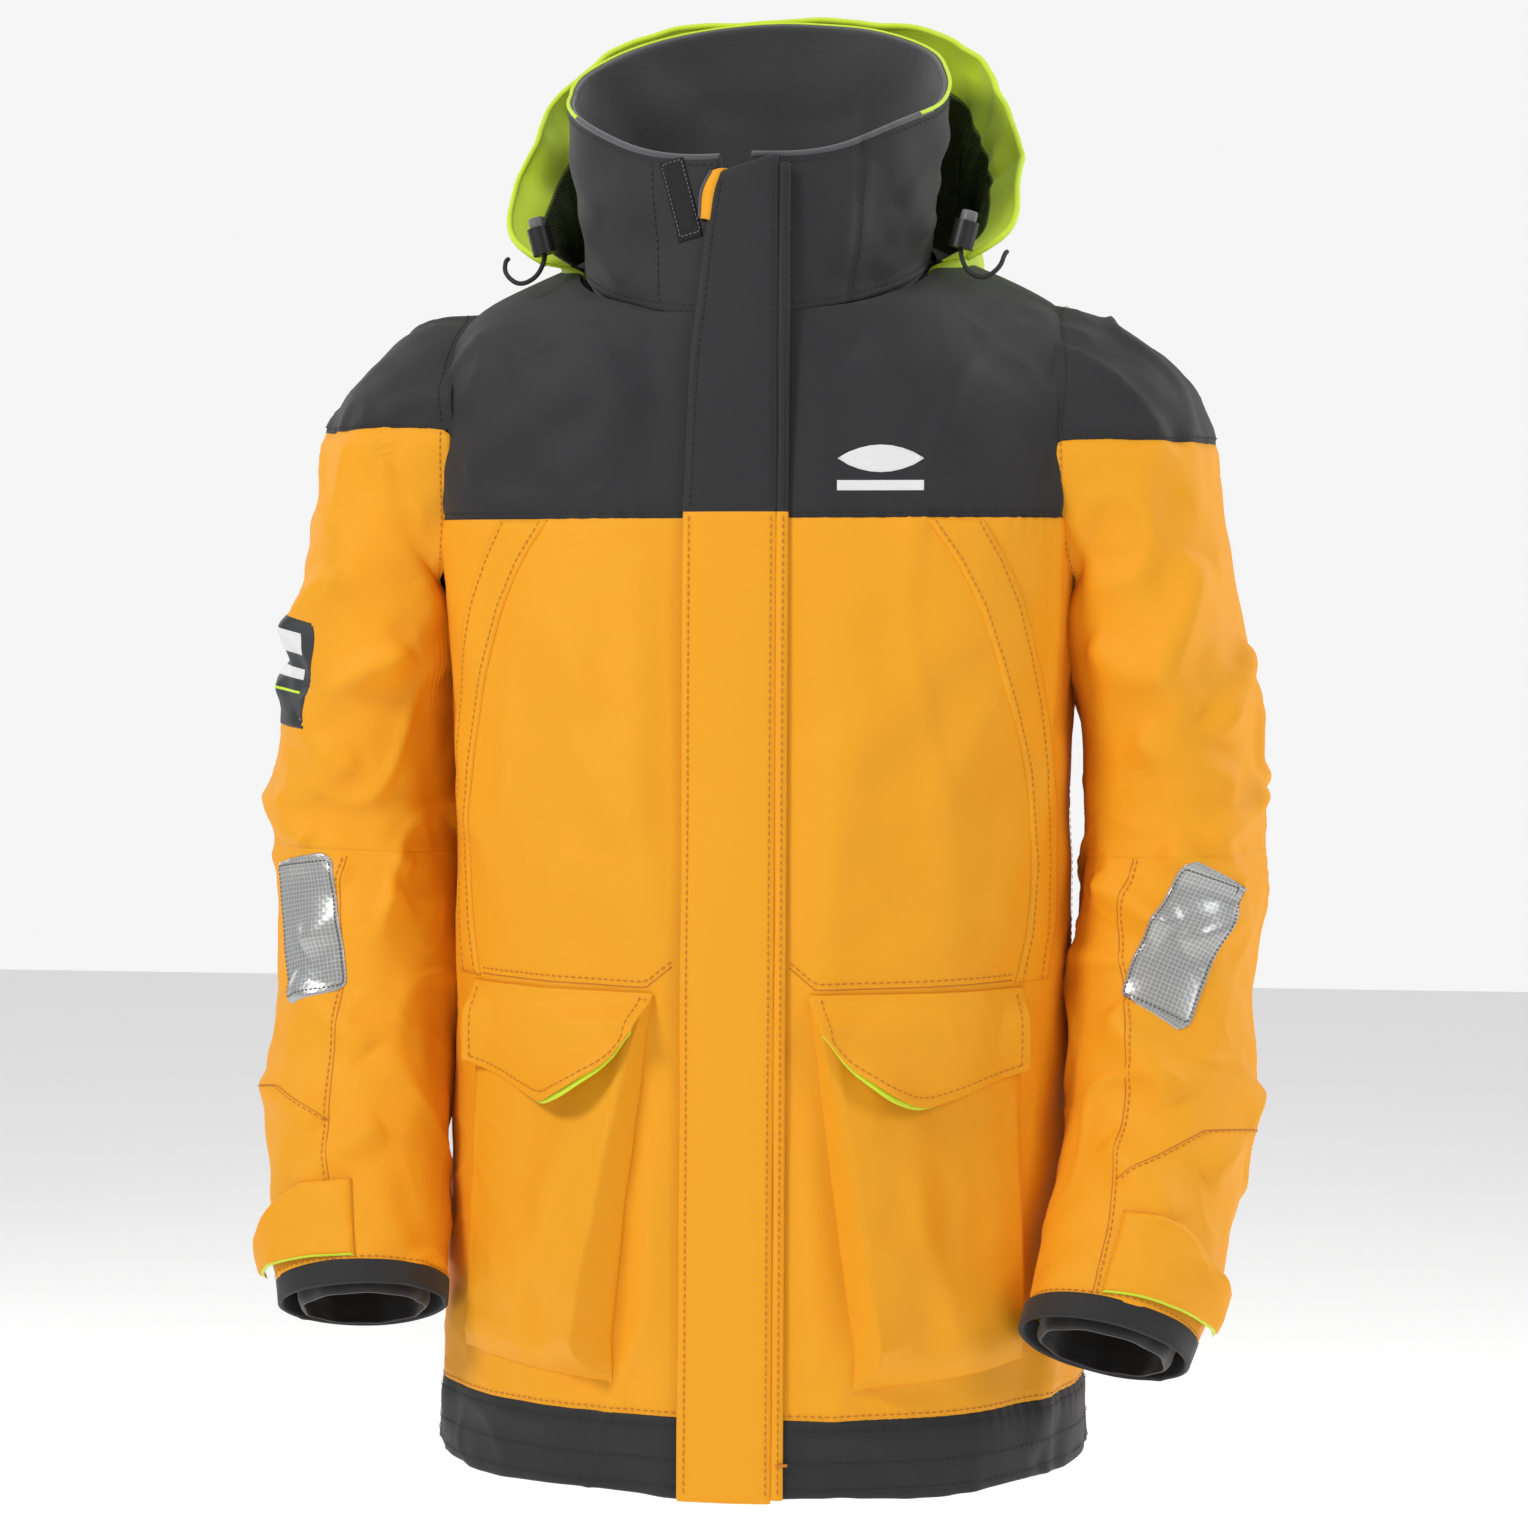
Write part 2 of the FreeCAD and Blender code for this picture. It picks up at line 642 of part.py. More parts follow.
def build_cord_locks():
    for side, k in SIDES:
        at = Vector(k * 131, -124, -47)
        turn = Rotation(Y_AXIS, k * 15)
        place = Placement(at, turn)
        barrel = Part.makeCylinder(V["lockradius"], V["locklength"])
        bore = Part.makeCylinder(V["lockradius"] - 2.2, V["locklength"] - 3, Vector(0, 0, 3))
        feature("cord_lock_" + side, barrel.cut(bore), place)
        stem = Part.makeCylinder(V["lockradius"] - 2.3, V["locklength"] - 2, Vector(0, 0, 8.5))
        feature("lock_button_" + side, stem.makeChamfer(0.8, stem.Edges[:1]), place)
        # Elastic drawcord: a short loop from the lock back to the brim.
        base = place.multVec(Vector(0, 0, 0))
        route = [
            base,
            base + Vector(k * 1, -4, -12),
            base + Vector(k * 14, -8, -21),
            base + Vector(k * 25, -5, -13),
            base + Vector(k * 27, 6, -3),
            base + Vector(k * 27.5, 17, -1),
        ]
        feature("hood_drawcord_" + side, corded(route, V["cordthick"] / 2))


def corded(points, radius):
    """A round cord along straight runs joined by tangent arcs."""
    edges, start = [], points[0]
    for before, corner, after in zip(points, points[1:], points[2:]):
        into, out = corner - before, after - corner
        turn = into.getAngle(out)
        reach = 0.45 * min(into.Length, out.Length)
        bend = reach / math.tan(turn / 2)
        into.normalize()
        out.normalize()
        first, last = corner - into * reach, corner + out * reach
        middle_way = (out - into)
        middle_way.normalize()
        centre = corner + middle_way * (bend / math.cos(turn / 2))
        middle = centre - middle_way * bend
        edges.append(Part.LineSegment(start, first).toShape())
        edges.append(Part.Arc(first, middle, last).toShape())
        start = last
        print("cord bend radius %.1f" % bend)
    edges.append(Part.LineSegment(start, points[-1]).toShape())
    wire = Part.Wire(edges)
    way = points[1] - points[0]
    profile = Part.Wire([Part.makeCircle(radius, points[0], way)])
    tube = wire.makePipeShell([profile], True, True)
    expected = math.pi * radius**2 * wire.Length
    print("cord length %.1f volume share %.3f" % (wire.Length, tube.Volume / expected))
    return tube


cell("sliderheight_at", -62)
build_torso()
build_collar()
build_hang_loop()
build_front()
doc.recompute()
clear_rings = torso_rings("clear", TORSO_RINGS, -0.3)
clear_loft = loft("torso_clear", clear_rings)
doc.recompute()
outer_clear = clear_loft.Shape
build_pockets()
build_trim(clear_loft)
for side, k in SIDES:
    build_sleeve(side, k)
build_hood(outer_clear)
build_cord_locks()
doc.recompute()

SUBPARTS = (
    "hem_band", "back_panel", "front_panel_left", "front_panel_right", "back_yoke",
    "front_yoke_left", "front_yoke_right", "body_lining", "collar_shell", "collar_lining",
    "hang_loop", "zip_tape_left", "zip_tape_right", "zip_teeth_left", "zip_teeth_right",
    "zip_box", "wind_flap", "zip_slider", "zip_pull", "storm_flap_lower", "storm_flap_upper",
    "storm_flap_seam", "storm_flap_hooks", "pocket_bag_left", "pocket_bag_right",
    "pocket_flap_left", "pocket_flap_right", "pocket_flap_lining_left",
    "pocket_flap_lining_right", "hand_pocket_welt_left", "hand_pocket_welt_right",
    "chest_emblem", "collar_hook_patch", "sleeve_cap_left", "sleeve_cap_right",
    "upper_sleeve_left", "upper_sleeve_right", "forearm_left", "forearm_right",
    "cuff_binding_left", "cuff_binding_right", "inner_cuff_left", "inner_cuff_right",
    "reflector_left", "reflector_right", "cuff_tab_left", "cuff_tab_right", "sleeve_badge",
    "hood_shell", "hood_mesh_lining", "hood_brim", "cord_lock_left", "cord_lock_right",
    "lock_button_left", "lock_button_right", "hood_drawcord_left", "hood_drawcord_right",
)

failed = [o.Name for o in doc.Objects if "Invalid" in o.State or "Error" in o.State]
if failed:
    raise SystemExit("these objects failed: %s" % failed)
os.makedirs("parts", exist_ok=True)
for label in SUBPARTS:
    found = doc.getObjectsByLabel(label)
    if len(found) != 1:
        raise SystemExit("%s names %d objects" % (label, len(found)))
    shape = found[0].Shape
    if shape.isNull() or not shape.isValid() or not shape.Solids:
        raise SystemExit("%s has no valid solid" % label)
    shape.exportStep("parts/%s.step" % label)
    print("%-26s solids %d volume %.0f" % (label, len(shape.Solids), shape.Volume))
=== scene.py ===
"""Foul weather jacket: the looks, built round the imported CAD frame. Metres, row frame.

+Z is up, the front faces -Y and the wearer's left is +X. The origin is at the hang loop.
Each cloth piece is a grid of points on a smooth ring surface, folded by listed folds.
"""

import math

import bmesh
import bpy
import numpy as np
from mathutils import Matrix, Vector
from mathutils.bvhtree import BVHTree


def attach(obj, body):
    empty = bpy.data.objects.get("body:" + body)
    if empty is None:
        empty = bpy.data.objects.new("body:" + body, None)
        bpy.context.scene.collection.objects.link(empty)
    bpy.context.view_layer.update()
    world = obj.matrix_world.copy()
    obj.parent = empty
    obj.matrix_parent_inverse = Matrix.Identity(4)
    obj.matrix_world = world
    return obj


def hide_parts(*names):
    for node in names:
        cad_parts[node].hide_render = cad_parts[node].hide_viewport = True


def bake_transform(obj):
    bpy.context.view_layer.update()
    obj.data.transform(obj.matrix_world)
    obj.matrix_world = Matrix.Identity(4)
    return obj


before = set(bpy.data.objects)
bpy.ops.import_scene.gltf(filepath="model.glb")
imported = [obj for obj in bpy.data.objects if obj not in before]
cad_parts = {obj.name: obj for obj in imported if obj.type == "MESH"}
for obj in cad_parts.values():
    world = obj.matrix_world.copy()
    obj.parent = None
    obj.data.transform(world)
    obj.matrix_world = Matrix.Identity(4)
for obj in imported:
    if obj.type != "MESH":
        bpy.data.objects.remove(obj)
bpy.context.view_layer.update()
SIDES = (("left", 1), ("right", -1))
SIDE = dict(SIDES)
MM = 0.001
UP = np.array([0, 0, 1])

# ---- driving sizes, the same as the CAD rings, in millimetres ---------------------------------
# Torso rings, hem to neck: height, half width, half depth, middle in Y, tilt raising the back,
# and how square the ring is (2 is an ellipse).
TORSO = np.array(
    [
        (-807, 207, 165, -61, 0, 2.2),
        (-657, 204, 158, -61.5, 0, 2.2),
        (-507, 197, 150, -63, 0, 2.3),
        (-357, 197, 147, -59.5, 0, 2.5),
        (-227, 209, 145, -56, 0, 2.7),
        (-152, 219, 139, -59.9, 8, 2.4),
        (-105, 211, 128, -69.6, 12, 2.1),
        (-78, 181, 120, -79, 16, 2.0),
        (-62, 142, 114, -86, 18, 2.0),
        (-52, 109, 108.5, -93.8, 21, 2.0),
    ],
    float,
)
COLLAR = np.array([(-52, 109, 108.5, -93.8, 21), (60, 121, 119.5, -86, 28.5)], float)
# Sleeve rings: out, Y, height, half width, half depth, splay, swing. The first lies inside.
UPPER = [
    (150, -63, -164, 87, 76, 86, 0),
    (200, -63, -179, 93, 79, 76, 0),
    (234, -61, -201, 79, 80, 60, 0),
    (244, -59, -262, 60, 81, 24, 0),
    (260, -58, -345, 58, 79, 6, 0),
    (262, -58, -424, 59, 74, 2, 0),
]
FOREARM = {
    "left": [
        (256, -78, -500, 58, 68, -2, 10),
        (255, -110, -575, 58, 61, -6, 19),
        (244, -152, -650, 55, 56, -9, 26),
        (225, -196, -715, 52, 50, -12, 30),
    ],
    "right": [
        (258, -76, -500, 58, 68, -1, 9),
        (256, -105, -575, 58, 62, -4, 18),
        (250, -139, -640, 56, 57, -5, 23),
        (238, -176, -705, 52, 50, -6, 26),
    ],
}
HEM_Z, HEM_TOP, YOKE_Z = -0.807, -0.762, -0.212
LEAN = math.radians(2.474)
FRONT = math.radians(-90)
SIDE_SEAM_Y = -0.060
COLLAR_RADIUS = 110 * MM
COLLAR_SEAMS = (-118, -52)
CLOTH = 1.6 * MM
THREAD_LIFT = 0.3 * MM


# ---- small numeric helpers ------------------------------------------------------------------
def smooth_rows(knots, at):
    """Catmull-Rom through the rows of knots, whose first column is where they are; at may be an array."""
    knots = np.asarray(knots, float)
    place, values = knots[:, 0], knots[:, 1:]
    slope = np.gradient(values, place, axis=0)
    at = np.atleast_1d(np.asarray(at, float))
    index = np.clip(np.searchsorted(place, at, side="right") - 1, 0, len(place) - 2)
    step = place[index + 1] - place[index]
    q = ((at - place[index]) / step)[:, None]
    a, b = values[index], values[index + 1]
    ma, mb = slope[index] * step[:, None], slope[index + 1] * step[:, None]
    return (
        (2 * q**3 - 3 * q**2 + 1) * a
        + (q**3 - 2 * q**2 + q) * ma
        + (3 * q**2 - 2 * q**3) * b
        + (q**3 - q**2) * mb
    )


def unit(v):
    return v / np.maximum(np.linalg.norm(v, axis=-1, keepdims=True), 1e-9)


def grid_normals(grid, closed):
    """Outward normals of a grid whose rows go up and whose columns go round from the front to +X."""
    if closed:
        across = np.roll(grid, -1, axis=1) - np.roll(grid, 1, axis=1)
    else:
        across = np.gradient(grid, axis=1)
    return unit(np.cross(across, np.gradient(grid, axis=0)))


NOISE_WAVES = 14


def value_noise(points, scale, seed):
    """Smooth noise round 0 at points, a sum of seeded plane waves, the same on every run."""
    random = np.random.RandomState(seed)
    total = np.zeros(points.shape[:-1])
    for _ in range(NOISE_WAVES):
        way = random.normal(size=3)
        way *= (0.6 + 0.9 * random.rand()) / (np.linalg.norm(way) * scale)
        total += np.sin(points @ way * 2 * math.pi + random.rand() * 2 * math.pi)
    return total / NOISE_WAVES**0.5


def crumple(points, scale, seed, sharp=0.22):
    """Soft ridges where two sets of waves cross zero, like the creases of a stiff coated cloth."""
    ridge = np.exp(-((value_noise(points, scale, seed) / sharp) ** 2))
    patches = 0.5 + 0.5 * np.tanh(1.6 * value_noise(points, scale * 1.7, seed + 1))
    return ridge * patches


def fold_heights(points, folds):
    """Sum of the folds at points. A fold is (start, end, width, height, sharpness from 0 to 1)."""
    total = np.zeros(points.shape[:-1])
    for start, end, width, height, sharp in folds:
        a, b = np.asarray(start, float), np.asarray(end, float)
        along = b - a
        length = np.linalg.norm(along)
        share = np.clip(((points - a) @ along) / length**2, -0.25, 1.25)
        away = np.linalg.norm(points - (a + share[..., None] * along), axis=-1)
        ends = np.clip(1.0 - (2 * share - 1) ** 4, 0, 1)
        q = away / width
        soft = np.exp(-(q**2))
        crease = np.exp(-1.7 * q)
        total += height * ends * ((1 - sharp) * soft + sharp * crease)
    return total


def ease(x, low, high):
    """Rises smoothly from 0 at low to 1 at high."""
    q = np.clip((x - low) / (high - low), 0, 1)
    return q * q * (3 - 2 * q)


def bell(x, middle, width):
    """1 at the middle, falling off to both sides."""
    return np.exp(-(((x - middle) / width) ** 2))


def run_along(line):
    """How far along a line each of its points is."""
    return np.concatenate([[0], np.cumsum(np.linalg.norm(np.diff(line, axis=0), axis=1))])


def even(line, count, values=None, curve=False):
    """Values, or the line's own points, at evenly spaced places along a line."""
    line = np.asarray(line, float)
    values = line if values is None else values
    run = run_along(line)
    at = np.linspace(0, run[-1], count)
    if curve:
        return smooth_rows(np.column_stack([run, values]), at)
    return np.stack([np.interp(at, run, column) for column in values.T], axis=1)


def spaced(line, step, values=None):
    """The same as even, with places about a step apart."""
    return even(line, max(2, int(round(run_along(line)[-1] / step)) + 1), values)


def spread(column, row):
    """Grids of a value for each row and of a value for each column."""
    return np.broadcast_arrays(np.asarray(column, float)[:, None], np.asarray(row, float)[None, :])


# ---- mesh builders --------------------------------------------------------------------------


def mesh_object(name, verts, faces, material, uvs=None):
    mesh = bpy.data.meshes.new(name)
    mesh.from_pydata([tuple(v) for v in verts], [], [tuple(f) for f in faces])
    mesh.polygons.foreach_set("use_smooth", [True] * len(mesh.polygons))
    if uvs is not None:
        layer = mesh.uv_layers.new(name="UVMap")
        loops = np.empty(len(mesh.loops), int)
        mesh.loops.foreach_get("vertex_index", loops)
        layer.data.foreach_set("uv", np.asarray(uvs, float)[loops].ravel())
    mesh.materials.append(material)
    mesh.update()
    return linked(bpy.data.objects.new(name, mesh))


def linked(obj):
    bpy.context.scene.collection.objects.link(obj)
    return obj


def grid_uv(grid):
    """Arc lengths along and up the grid, in metres, so that a weave follows the cloth."""
    across = np.linalg.norm(np.diff(grid, axis=1), axis=-1).mean(axis=0)
    up = np.linalg.norm(np.diff(grid, axis=0), axis=-1).mean(axis=1)
    v, u = spread(np.concatenate([[0], np.cumsum(up)]), np.concatenate([[0], np.cumsum(across)]))
    return np.stack([u, v], axis=-1).reshape(-1, 2)


def cloth_grid(name, grid, material, thick=CLOTH, closed=False, normals=None):
    """A cloth piece from a grid of outer points: outer face, inner face and rounded edges."""
    rows, cols = grid.shape[:2]
    normals = (grid_normals(grid, closed) if normals is None else normals).reshape(-1, 3)
    outer, uv = grid.reshape(-1, 3), grid_uv(grid)
    count = len(outer)
    middle = outer - normals * thick / 2
    verts, uvs, faces = [outer, outer - normals * thick], [uv, uv], []
    for i in range(rows - 1):
        for j in range(cols if closed else cols - 1):
            a, b = i * cols + j, i * cols + (j + 1) % cols
            faces.append((a, b, b + cols, a + cols))
            faces.append((a + cols + count, b + cols + count, b + count, a + count))
    # Rounded rim: one more loop of points, pushed out past each edge.
    first = np.arange(cols)
    last = first + count - cols
    if closed:
        rims = [(first, unit(grid[0] - grid[1]), 1), (last, unit(grid[-1] - grid[-2]), -1)]
    else:
        right, left = np.arange(2, rows + 1) * cols - 1, np.arange(rows - 2, 0, -1) * cols
        ring = np.concatenate([first, right, last[-2::-1], left])
        tangent = np.roll(middle[ring], -1, axis=0) - np.roll(middle[ring], 1, axis=0)
        rims = [(ring, unit(np.cross(tangent, normals[ring])), 1)]
    base = count * 2
    for ring, push, turn in rims:
        verts.append(middle[ring] + push * thick * 0.45)
        uvs.append(uv[ring])
        edge = base + np.arange(len(ring))
        for one, other in ((ring, edge), (edge, ring + count)):
            quads = np.stack([one, other, np.roll(other, -1), np.roll(one, -1)], -1)
            faces += quads[:, ::turn].tolist()
        base += len(ring)
    return mesh_object(name, np.concatenate(verts), faces, material, np.concatenate(uvs))


def tube_mesh(name, points, radius, material, sides=8):
    """A round tube along points."""
    tangent = unit(np.gradient(points, axis=0))
    side = unit(np.cross(tangent[0], (0.3, 0.2, 0.93)))
    verts, faces = [], []
    for i, (centre, along) in enumerate(zip(points, tangent)):
        side = unit(side - along * (side @ along))
        other = np.cross(along, side)
        for k in range(sides):
            angle = 2 * math.pi * k / sides
            verts.append(centre + radius * (side * math.cos(angle) + other * math.sin(angle)))
            if i:
                a, b = (i - 1) * sides + k, (i - 1) * sides + (k + 1) % sides
                faces.append((a, b, b + sides, a + sides))
    faces.append(range(sides)[::-1])
    faces.append(range(len(verts) - sides, len(verts)))
    return mesh_object(name, verts, faces, material)


def stitch_line(name, lines, material, length=3.0 * MM, gap=1.5 * MM, radius=0.42 * MM):
    """Rows of thread stitches. lines is a list of (points, normals) on the cloth."""
    verts, faces = [], []
    for points, normals in lines:
        spots, ups = spaced(points, length + gap), unit(spaced(points, length + gap, normals))
        for start, end, up in zip(spots, spots[1:], ups):
            way = unit(end - start)
            side = np.cross(way, up)
            start = start + way * gap * 0.5
            base = len(verts)
            for share, size in ((0.0, 0.35), (0.22, 1.0), (0.78, 1.0), (1.0, 0.35)):
                centre = start + way * length * share + up * radius * (0.15 if size < 1 else 0.45)
                for a, b in ((1, 0), (0.1, 0.9), (-1, 0)):
                    verts.append(centre + (side * a + up * b) * radius * size)
            faces += [(base + k, base + k + 3, base + k + 4, base + k + 1) for k in (0, 1, 3, 4, 6, 7)]
    return mesh_object(name, verts, faces, material)


# ---- materials ------------------------------------------------------------------------------


class Nodes:
    """Short forms for building one material's nodes."""

    def __init__(self, name):
        self.material = bpy.data.materials.new(name)
        self.material.use_nodes = True
        self.tree = self.material.node_tree
        self.shader = self.tree.nodes["Principled BSDF"]
        self.coords = self.tree.nodes.new("ShaderNodeTexCoord").outputs

    def plug(self, slot, value):
        """Links a socket into a slot, or gives the slot a plain value or a colour."""
        if hasattr(value, "links"):
            self.tree.links.new(value, slot)
        elif slot.type == "RGBA":
            slot.default_value = value + (1.0,)
        else:
            slot.default_value = value

    def node(self, kind, **inputs):
        made = self.tree.nodes.new("ShaderNode" + kind)
        for key, value in inputs.items():
            self.plug(made.inputs[key], value)
        return made.outputs[0]

    def math(self, operation, *values):
        made = self.tree.nodes.new("ShaderNodeMath")
        made.operation = operation
        for slot, value in zip(made.inputs, values):
            self.plug(slot, value)
        return made.outputs[0]

    def times(self, a, b):
        return self.math("MULTIPLY", a, b)

    def size(self, a):
        return self.math("ABSOLUTE", a)

    def noise(self, scale, detail=3.0, distortion=0.0):
        place = self.coords["Object"]
        return self.node("TexNoise", Scale=scale, Detail=detail, Distortion=distortion, Vector=place)

    def uv_waves(self, pitch, angle=0.0):
        """Two crossed sine waves over the cloth, of this pitch in metres."""
        scale = (1 / pitch,) * 3
        turned = self.node("Mapping", Rotation=(0, 0, angle), Scale=scale, Vector=self.coords["UV"])
        axes = self.node("SeparateXYZ", Vector=turned).node.outputs
        return [self.math("SINE", self.times(axes[key], 2 * math.pi)) for key in "XY"]

    def mix(self, factor, a, b):
        made = self.tree.nodes.new("ShaderNodeMix")
        made.data_type = "RGBA"
        for index, value in ((0, factor), (6, a), (7, b)):
            self.plug(made.inputs[index], value)
        return made.outputs[2]

    def bump(self, *heights):
        """Chains bumps, each of them (socket, strength, distance)."""
        under = {}
        for socket, strength, distance in heights:
            under["Normal"] = self.node("Bump", Strength=strength, Distance=distance, Height=socket, **under)
        self.plug(self.shader.inputs["Normal"], under["Normal"])

    def rough(self, spots, share, base):
        self.set(Roughness=self.math("ADD", self.times(spots, share), base))

    def set(self, **values):
        for key, value in values.items():
            self.plug(self.shader.inputs[key.replace("_", " ")], value)
        return self.material


def shell_fabric(name, colour, dark, roughness=0.62, sheen=0.12):
    """Coated woven shell: fine plain weave, faint crumple, slight colour drift."""
    n = Nodes(name)
    drift = n.noise(5.0, 4.0)
    weave = n.times(*n.uv_waves(0.9 * MM))
    tone = n.mix(n.times(drift, 0.30), colour, dark)
    speck = n.times(n.math("ADD", n.times(n.noise(900.0, 2.0), 0.6), weave), 0.10)
    n.bump((n.noise(34.0, 5.0, distortion=0.6), 0.125, 0.004), (weave, 0.18, 0.0003))
    n.rough(drift, 0.16, roughness - 0.08)
    n.set(Sheen_Weight=sheen, Sheen_Roughness=0.5, Specular_IOR_Level=0.32)
    return n.set(Base_Color=n.mix(n.size(speck), tone, dark))


def plain(name, colour, roughness, metallic=0.0, grain=400.0, strength=0.1):
    """Moulded plastic, coated metal, print or thread: one colour with a little grain."""
    n = Nodes(name)
    spots = n.noise(grain, 3.0)
    n.bump((spots, strength, 0.0003))
    n.rough(spots, 0.15, roughness - 0.07)
    tone = n.mix(n.times(spots, 0.35), colour, tuple(0.7 * c for c in colour))
    return n.set(Base_Color=tone, Metallic=metallic)


def fleece_fabric(name, colour, light):
    """Napped fleece: soft lumps, fine pile and a pale sheen."""
    n = Nodes(name)
    pile = n.noise(1400.0, 4.0)
    n.bump((n.noise(160.0, 4.0), 0.35, 0.0012), (pile, 0.5, 0.0006))
    tone = n.mix(n.times(pile, 0.5), colour, light)
    return n.set(Base_Color=tone, Roughness=0.95, Sheen_Weight=0.35, Sheen_Roughness=0.6)


def mesh_fabric(name, colour, pitch=3.4 * MM, share=0.35):
    """Open net: threads between diamond holes that light passes through."""
    n = Nodes(name)
    hole = n.size(n.times(*n.uv_waves(pitch, math.radians(45))))
    n.bump((hole, 0.3, 0.0005))
    return n.set(Base_Color=colour, Roughness=0.6, Alpha=n.math("LESS_THAN", hole, share))


def reflective_film(name):
    """Grey retroreflective film: dots in a pale grid under a clear glossy top."""
    n = Nodes(name)
    cell = n.times(*n.uv_waves(5.6 * MM))
    dots = n.math("GREATER_THAN", n.size(cell), 0.30)
    near = [n.math("LESS_THAN", n.size(wave), 0.10) for wave in n.uv_waves(11.2 * MM)]
    tone = n.mix(dots, (0.46, 0.46, 0.45), (0.27, 0.28, 0.29))
    tone = n.mix(n.times(n.math("MAXIMUM", *near), 0.6), tone, (0.62, 0.62, 0.6))
    smudge = n.noise(30.0, 4.0)
    n.bump((cell, 0.15, 0.0003))
    n.rough(smudge, 0.2, 0.22)
    tone = n.mix(n.times(smudge, 0.5), tone, (0.5, 0.5, 0.49))
    return n.set(Base_Color=tone, Metallic=0.25, Coat_Weight=0.5)


def hook_tape(name):
    """Rows of tiny dark hooks."""
    n = Nodes(name)
    hooks = n.times(*n.uv_waves(1.7 * MM))
    n.bump((hooks, 0.9, 0.0012))
    tone = n.mix(n.size(hooks), (0.005, 0.005, 0.0055), (0.030, 0.030, 0.031))
    return n.set(Base_Color=tone, Roughness=0.7)


ORANGE = shell_fabric("orange_shell", (0.90, 0.385, 0.008), (0.80, 0.30, 0.005), sheen=0.02)
CHARCOAL = shell_fabric("charcoal_shell", (0.022, 0.022, 0.024), (0.013, 0.013, 0.0145), 0.66, 0.10)
HI_VIS = shell_fabric("hi_vis_shell", (0.66, 0.86, 0.03), (0.50, 0.72, 0.02), 0.5, 0.2)
LINING = shell_fabric("dark_lining", (0.03, 0.03, 0.034), (0.018, 0.018, 0.02), 0.5, 0.2)
NEOPRENE = shell_fabric("inner_cuff_rubber", (0.016, 0.016, 0.017), (0.01, 0.01, 0.011), 0.6, 0.3)
FLEECE = fleece_fabric("collar_fleece", (0.016, 0.016, 0.018), (0.045, 0.045, 0.048))
FLEECE_EDGE = fleece_fabric("fleece_edge", (0.05, 0.05, 0.054), (0.13, 0.13, 0.135))
MESH = mesh_fabric("black_mesh", (0.012, 0.012, 0.013))
FILM = reflective_film("reflective")
HOOKS = hook_tape("hook_tape")
ORANGE_THREAD = plain("orange_thread", (0.62, 0.21, 0.008), 0.6)
CHARCOAL_THREAD = plain("charcoal_thread", (0.012, 0.012, 0.013), 0.6)
GREY_THREAD = plain("grey_thread", (0.10, 0.10, 0.105), 0.6)
YELLOW_THREAD = plain("yellow_thread", (0.42, 0.6, 0.02), 0.6)
WHITE = plain("print_white", (0.82, 0.82, 0.82), 0.45)
BADGE = plain("badge_grey", (0.032, 0.034, 0.038), 0.5)
PLASTIC = plain("black_plastic", (0.014, 0.014, 0.015), 0.38)
PLASTIC_GREY = plain("grey_plastic", (0.16, 0.16, 0.165), 0.4)
METAL = plain("coated_metal", (0.05, 0.05, 0.052), 0.32, 0.8)
CORD = plain("drawcord", (0.014, 0.014, 0.015), 0.7, grain=900.0, strength=0.4)

# ---- slots, bodies and joints in cloth --------------------------------------------------------
SLOT = {
    "orange_shell": [ORANGE, ORANGE_THREAD], "charcoal_shell": [CHARCOAL, CHARCOAL_THREAD, BADGE],
    "hi_vis_shell": [HI_VIS, YELLOW_THREAD], "dark_lining": [LINING], "neoprene": [NEOPRENE],
    "fleece": [FLEECE, FLEECE_EDGE], "black_mesh": [MESH], "reflective": [FILM], "cord": [CORD],
    "hook_tape": [HOOKS, GREY_THREAD], "print_white": [WHITE],
}
SLOT = {material.name: slot for slot, materials in SLOT.items() for material in materials}


def done(obj, body, *nodes, slot=None):
    """Hides the replaced nodes of a finished piece and puts it on its body."""
    slot or SLOT[obj.data.materials[0].name]
    if nodes:
        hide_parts(*nodes)
    if body:
        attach(obj, body)
    return obj


# For each joint in cloth, for the wearer's left: the two bodies, where the blend starts and ends.
SHOULDER = ("jacket", "upper_sleeve_", (0.190, -0.06, -0.252), (0.2245, -0.06, -0.2626))
ELBOW_BEND = ("upper_sleeve_", "forearm_", (0.258, -0.06, -0.426), (0.256, -0.085, -0.505))
POCKET_FOLD = ("jacket", "pocket_flap_", (0.1, -0.2, -0.507), (0.1, -0.2, -0.526))


def bending(obj, name, joint, *nodes, slot=None):
    """Finishes a piece that crosses a joint of the left or the right side."""
    done(obj, None, *nodes, slot=slot)
    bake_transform(obj)


# ---- torso surface --------------------------------------------------------------------------


def rounded_square(turn, power):
    """Cosine or sine values bent towards a square outline."""
    return np.sign(turn) * np.abs(turn) ** power


def torso_smooth(phi, h):
    """Point of the unfolded torso at angle phi in radians (0 at +X, back at 90) and ring height h."""
    phi, h = np.broadcast_arrays(np.asarray(phi, float), np.asarray(h, float))
    rows = smooth_rows(TORSO, h.ravel() / MM).reshape(h.shape + (5,))
    a, b, mid = (rows[..., k] * MM for k in range(3))
    tilt, power = np.radians(rows[..., 3]), 2 / rows[..., 4]
    around = b * rounded_square(np.sin(phi), power)
    across = a * rounded_square(np.cos(phi), power)
    return np.stack([across, mid + around * np.cos(tilt), h + around * np.sin(tilt)], -1)


def torso_spot(x, z, way):
    """Rough place on the torso's front (way -1) or back (way 1), for the end of a fold."""
    a, b, mid = smooth_rows(TORSO, z)[0][:3]
    return np.array([x, mid + way * b * math.sqrt(max(0.05, 1 - (x / a) ** 2)), z]) * MM


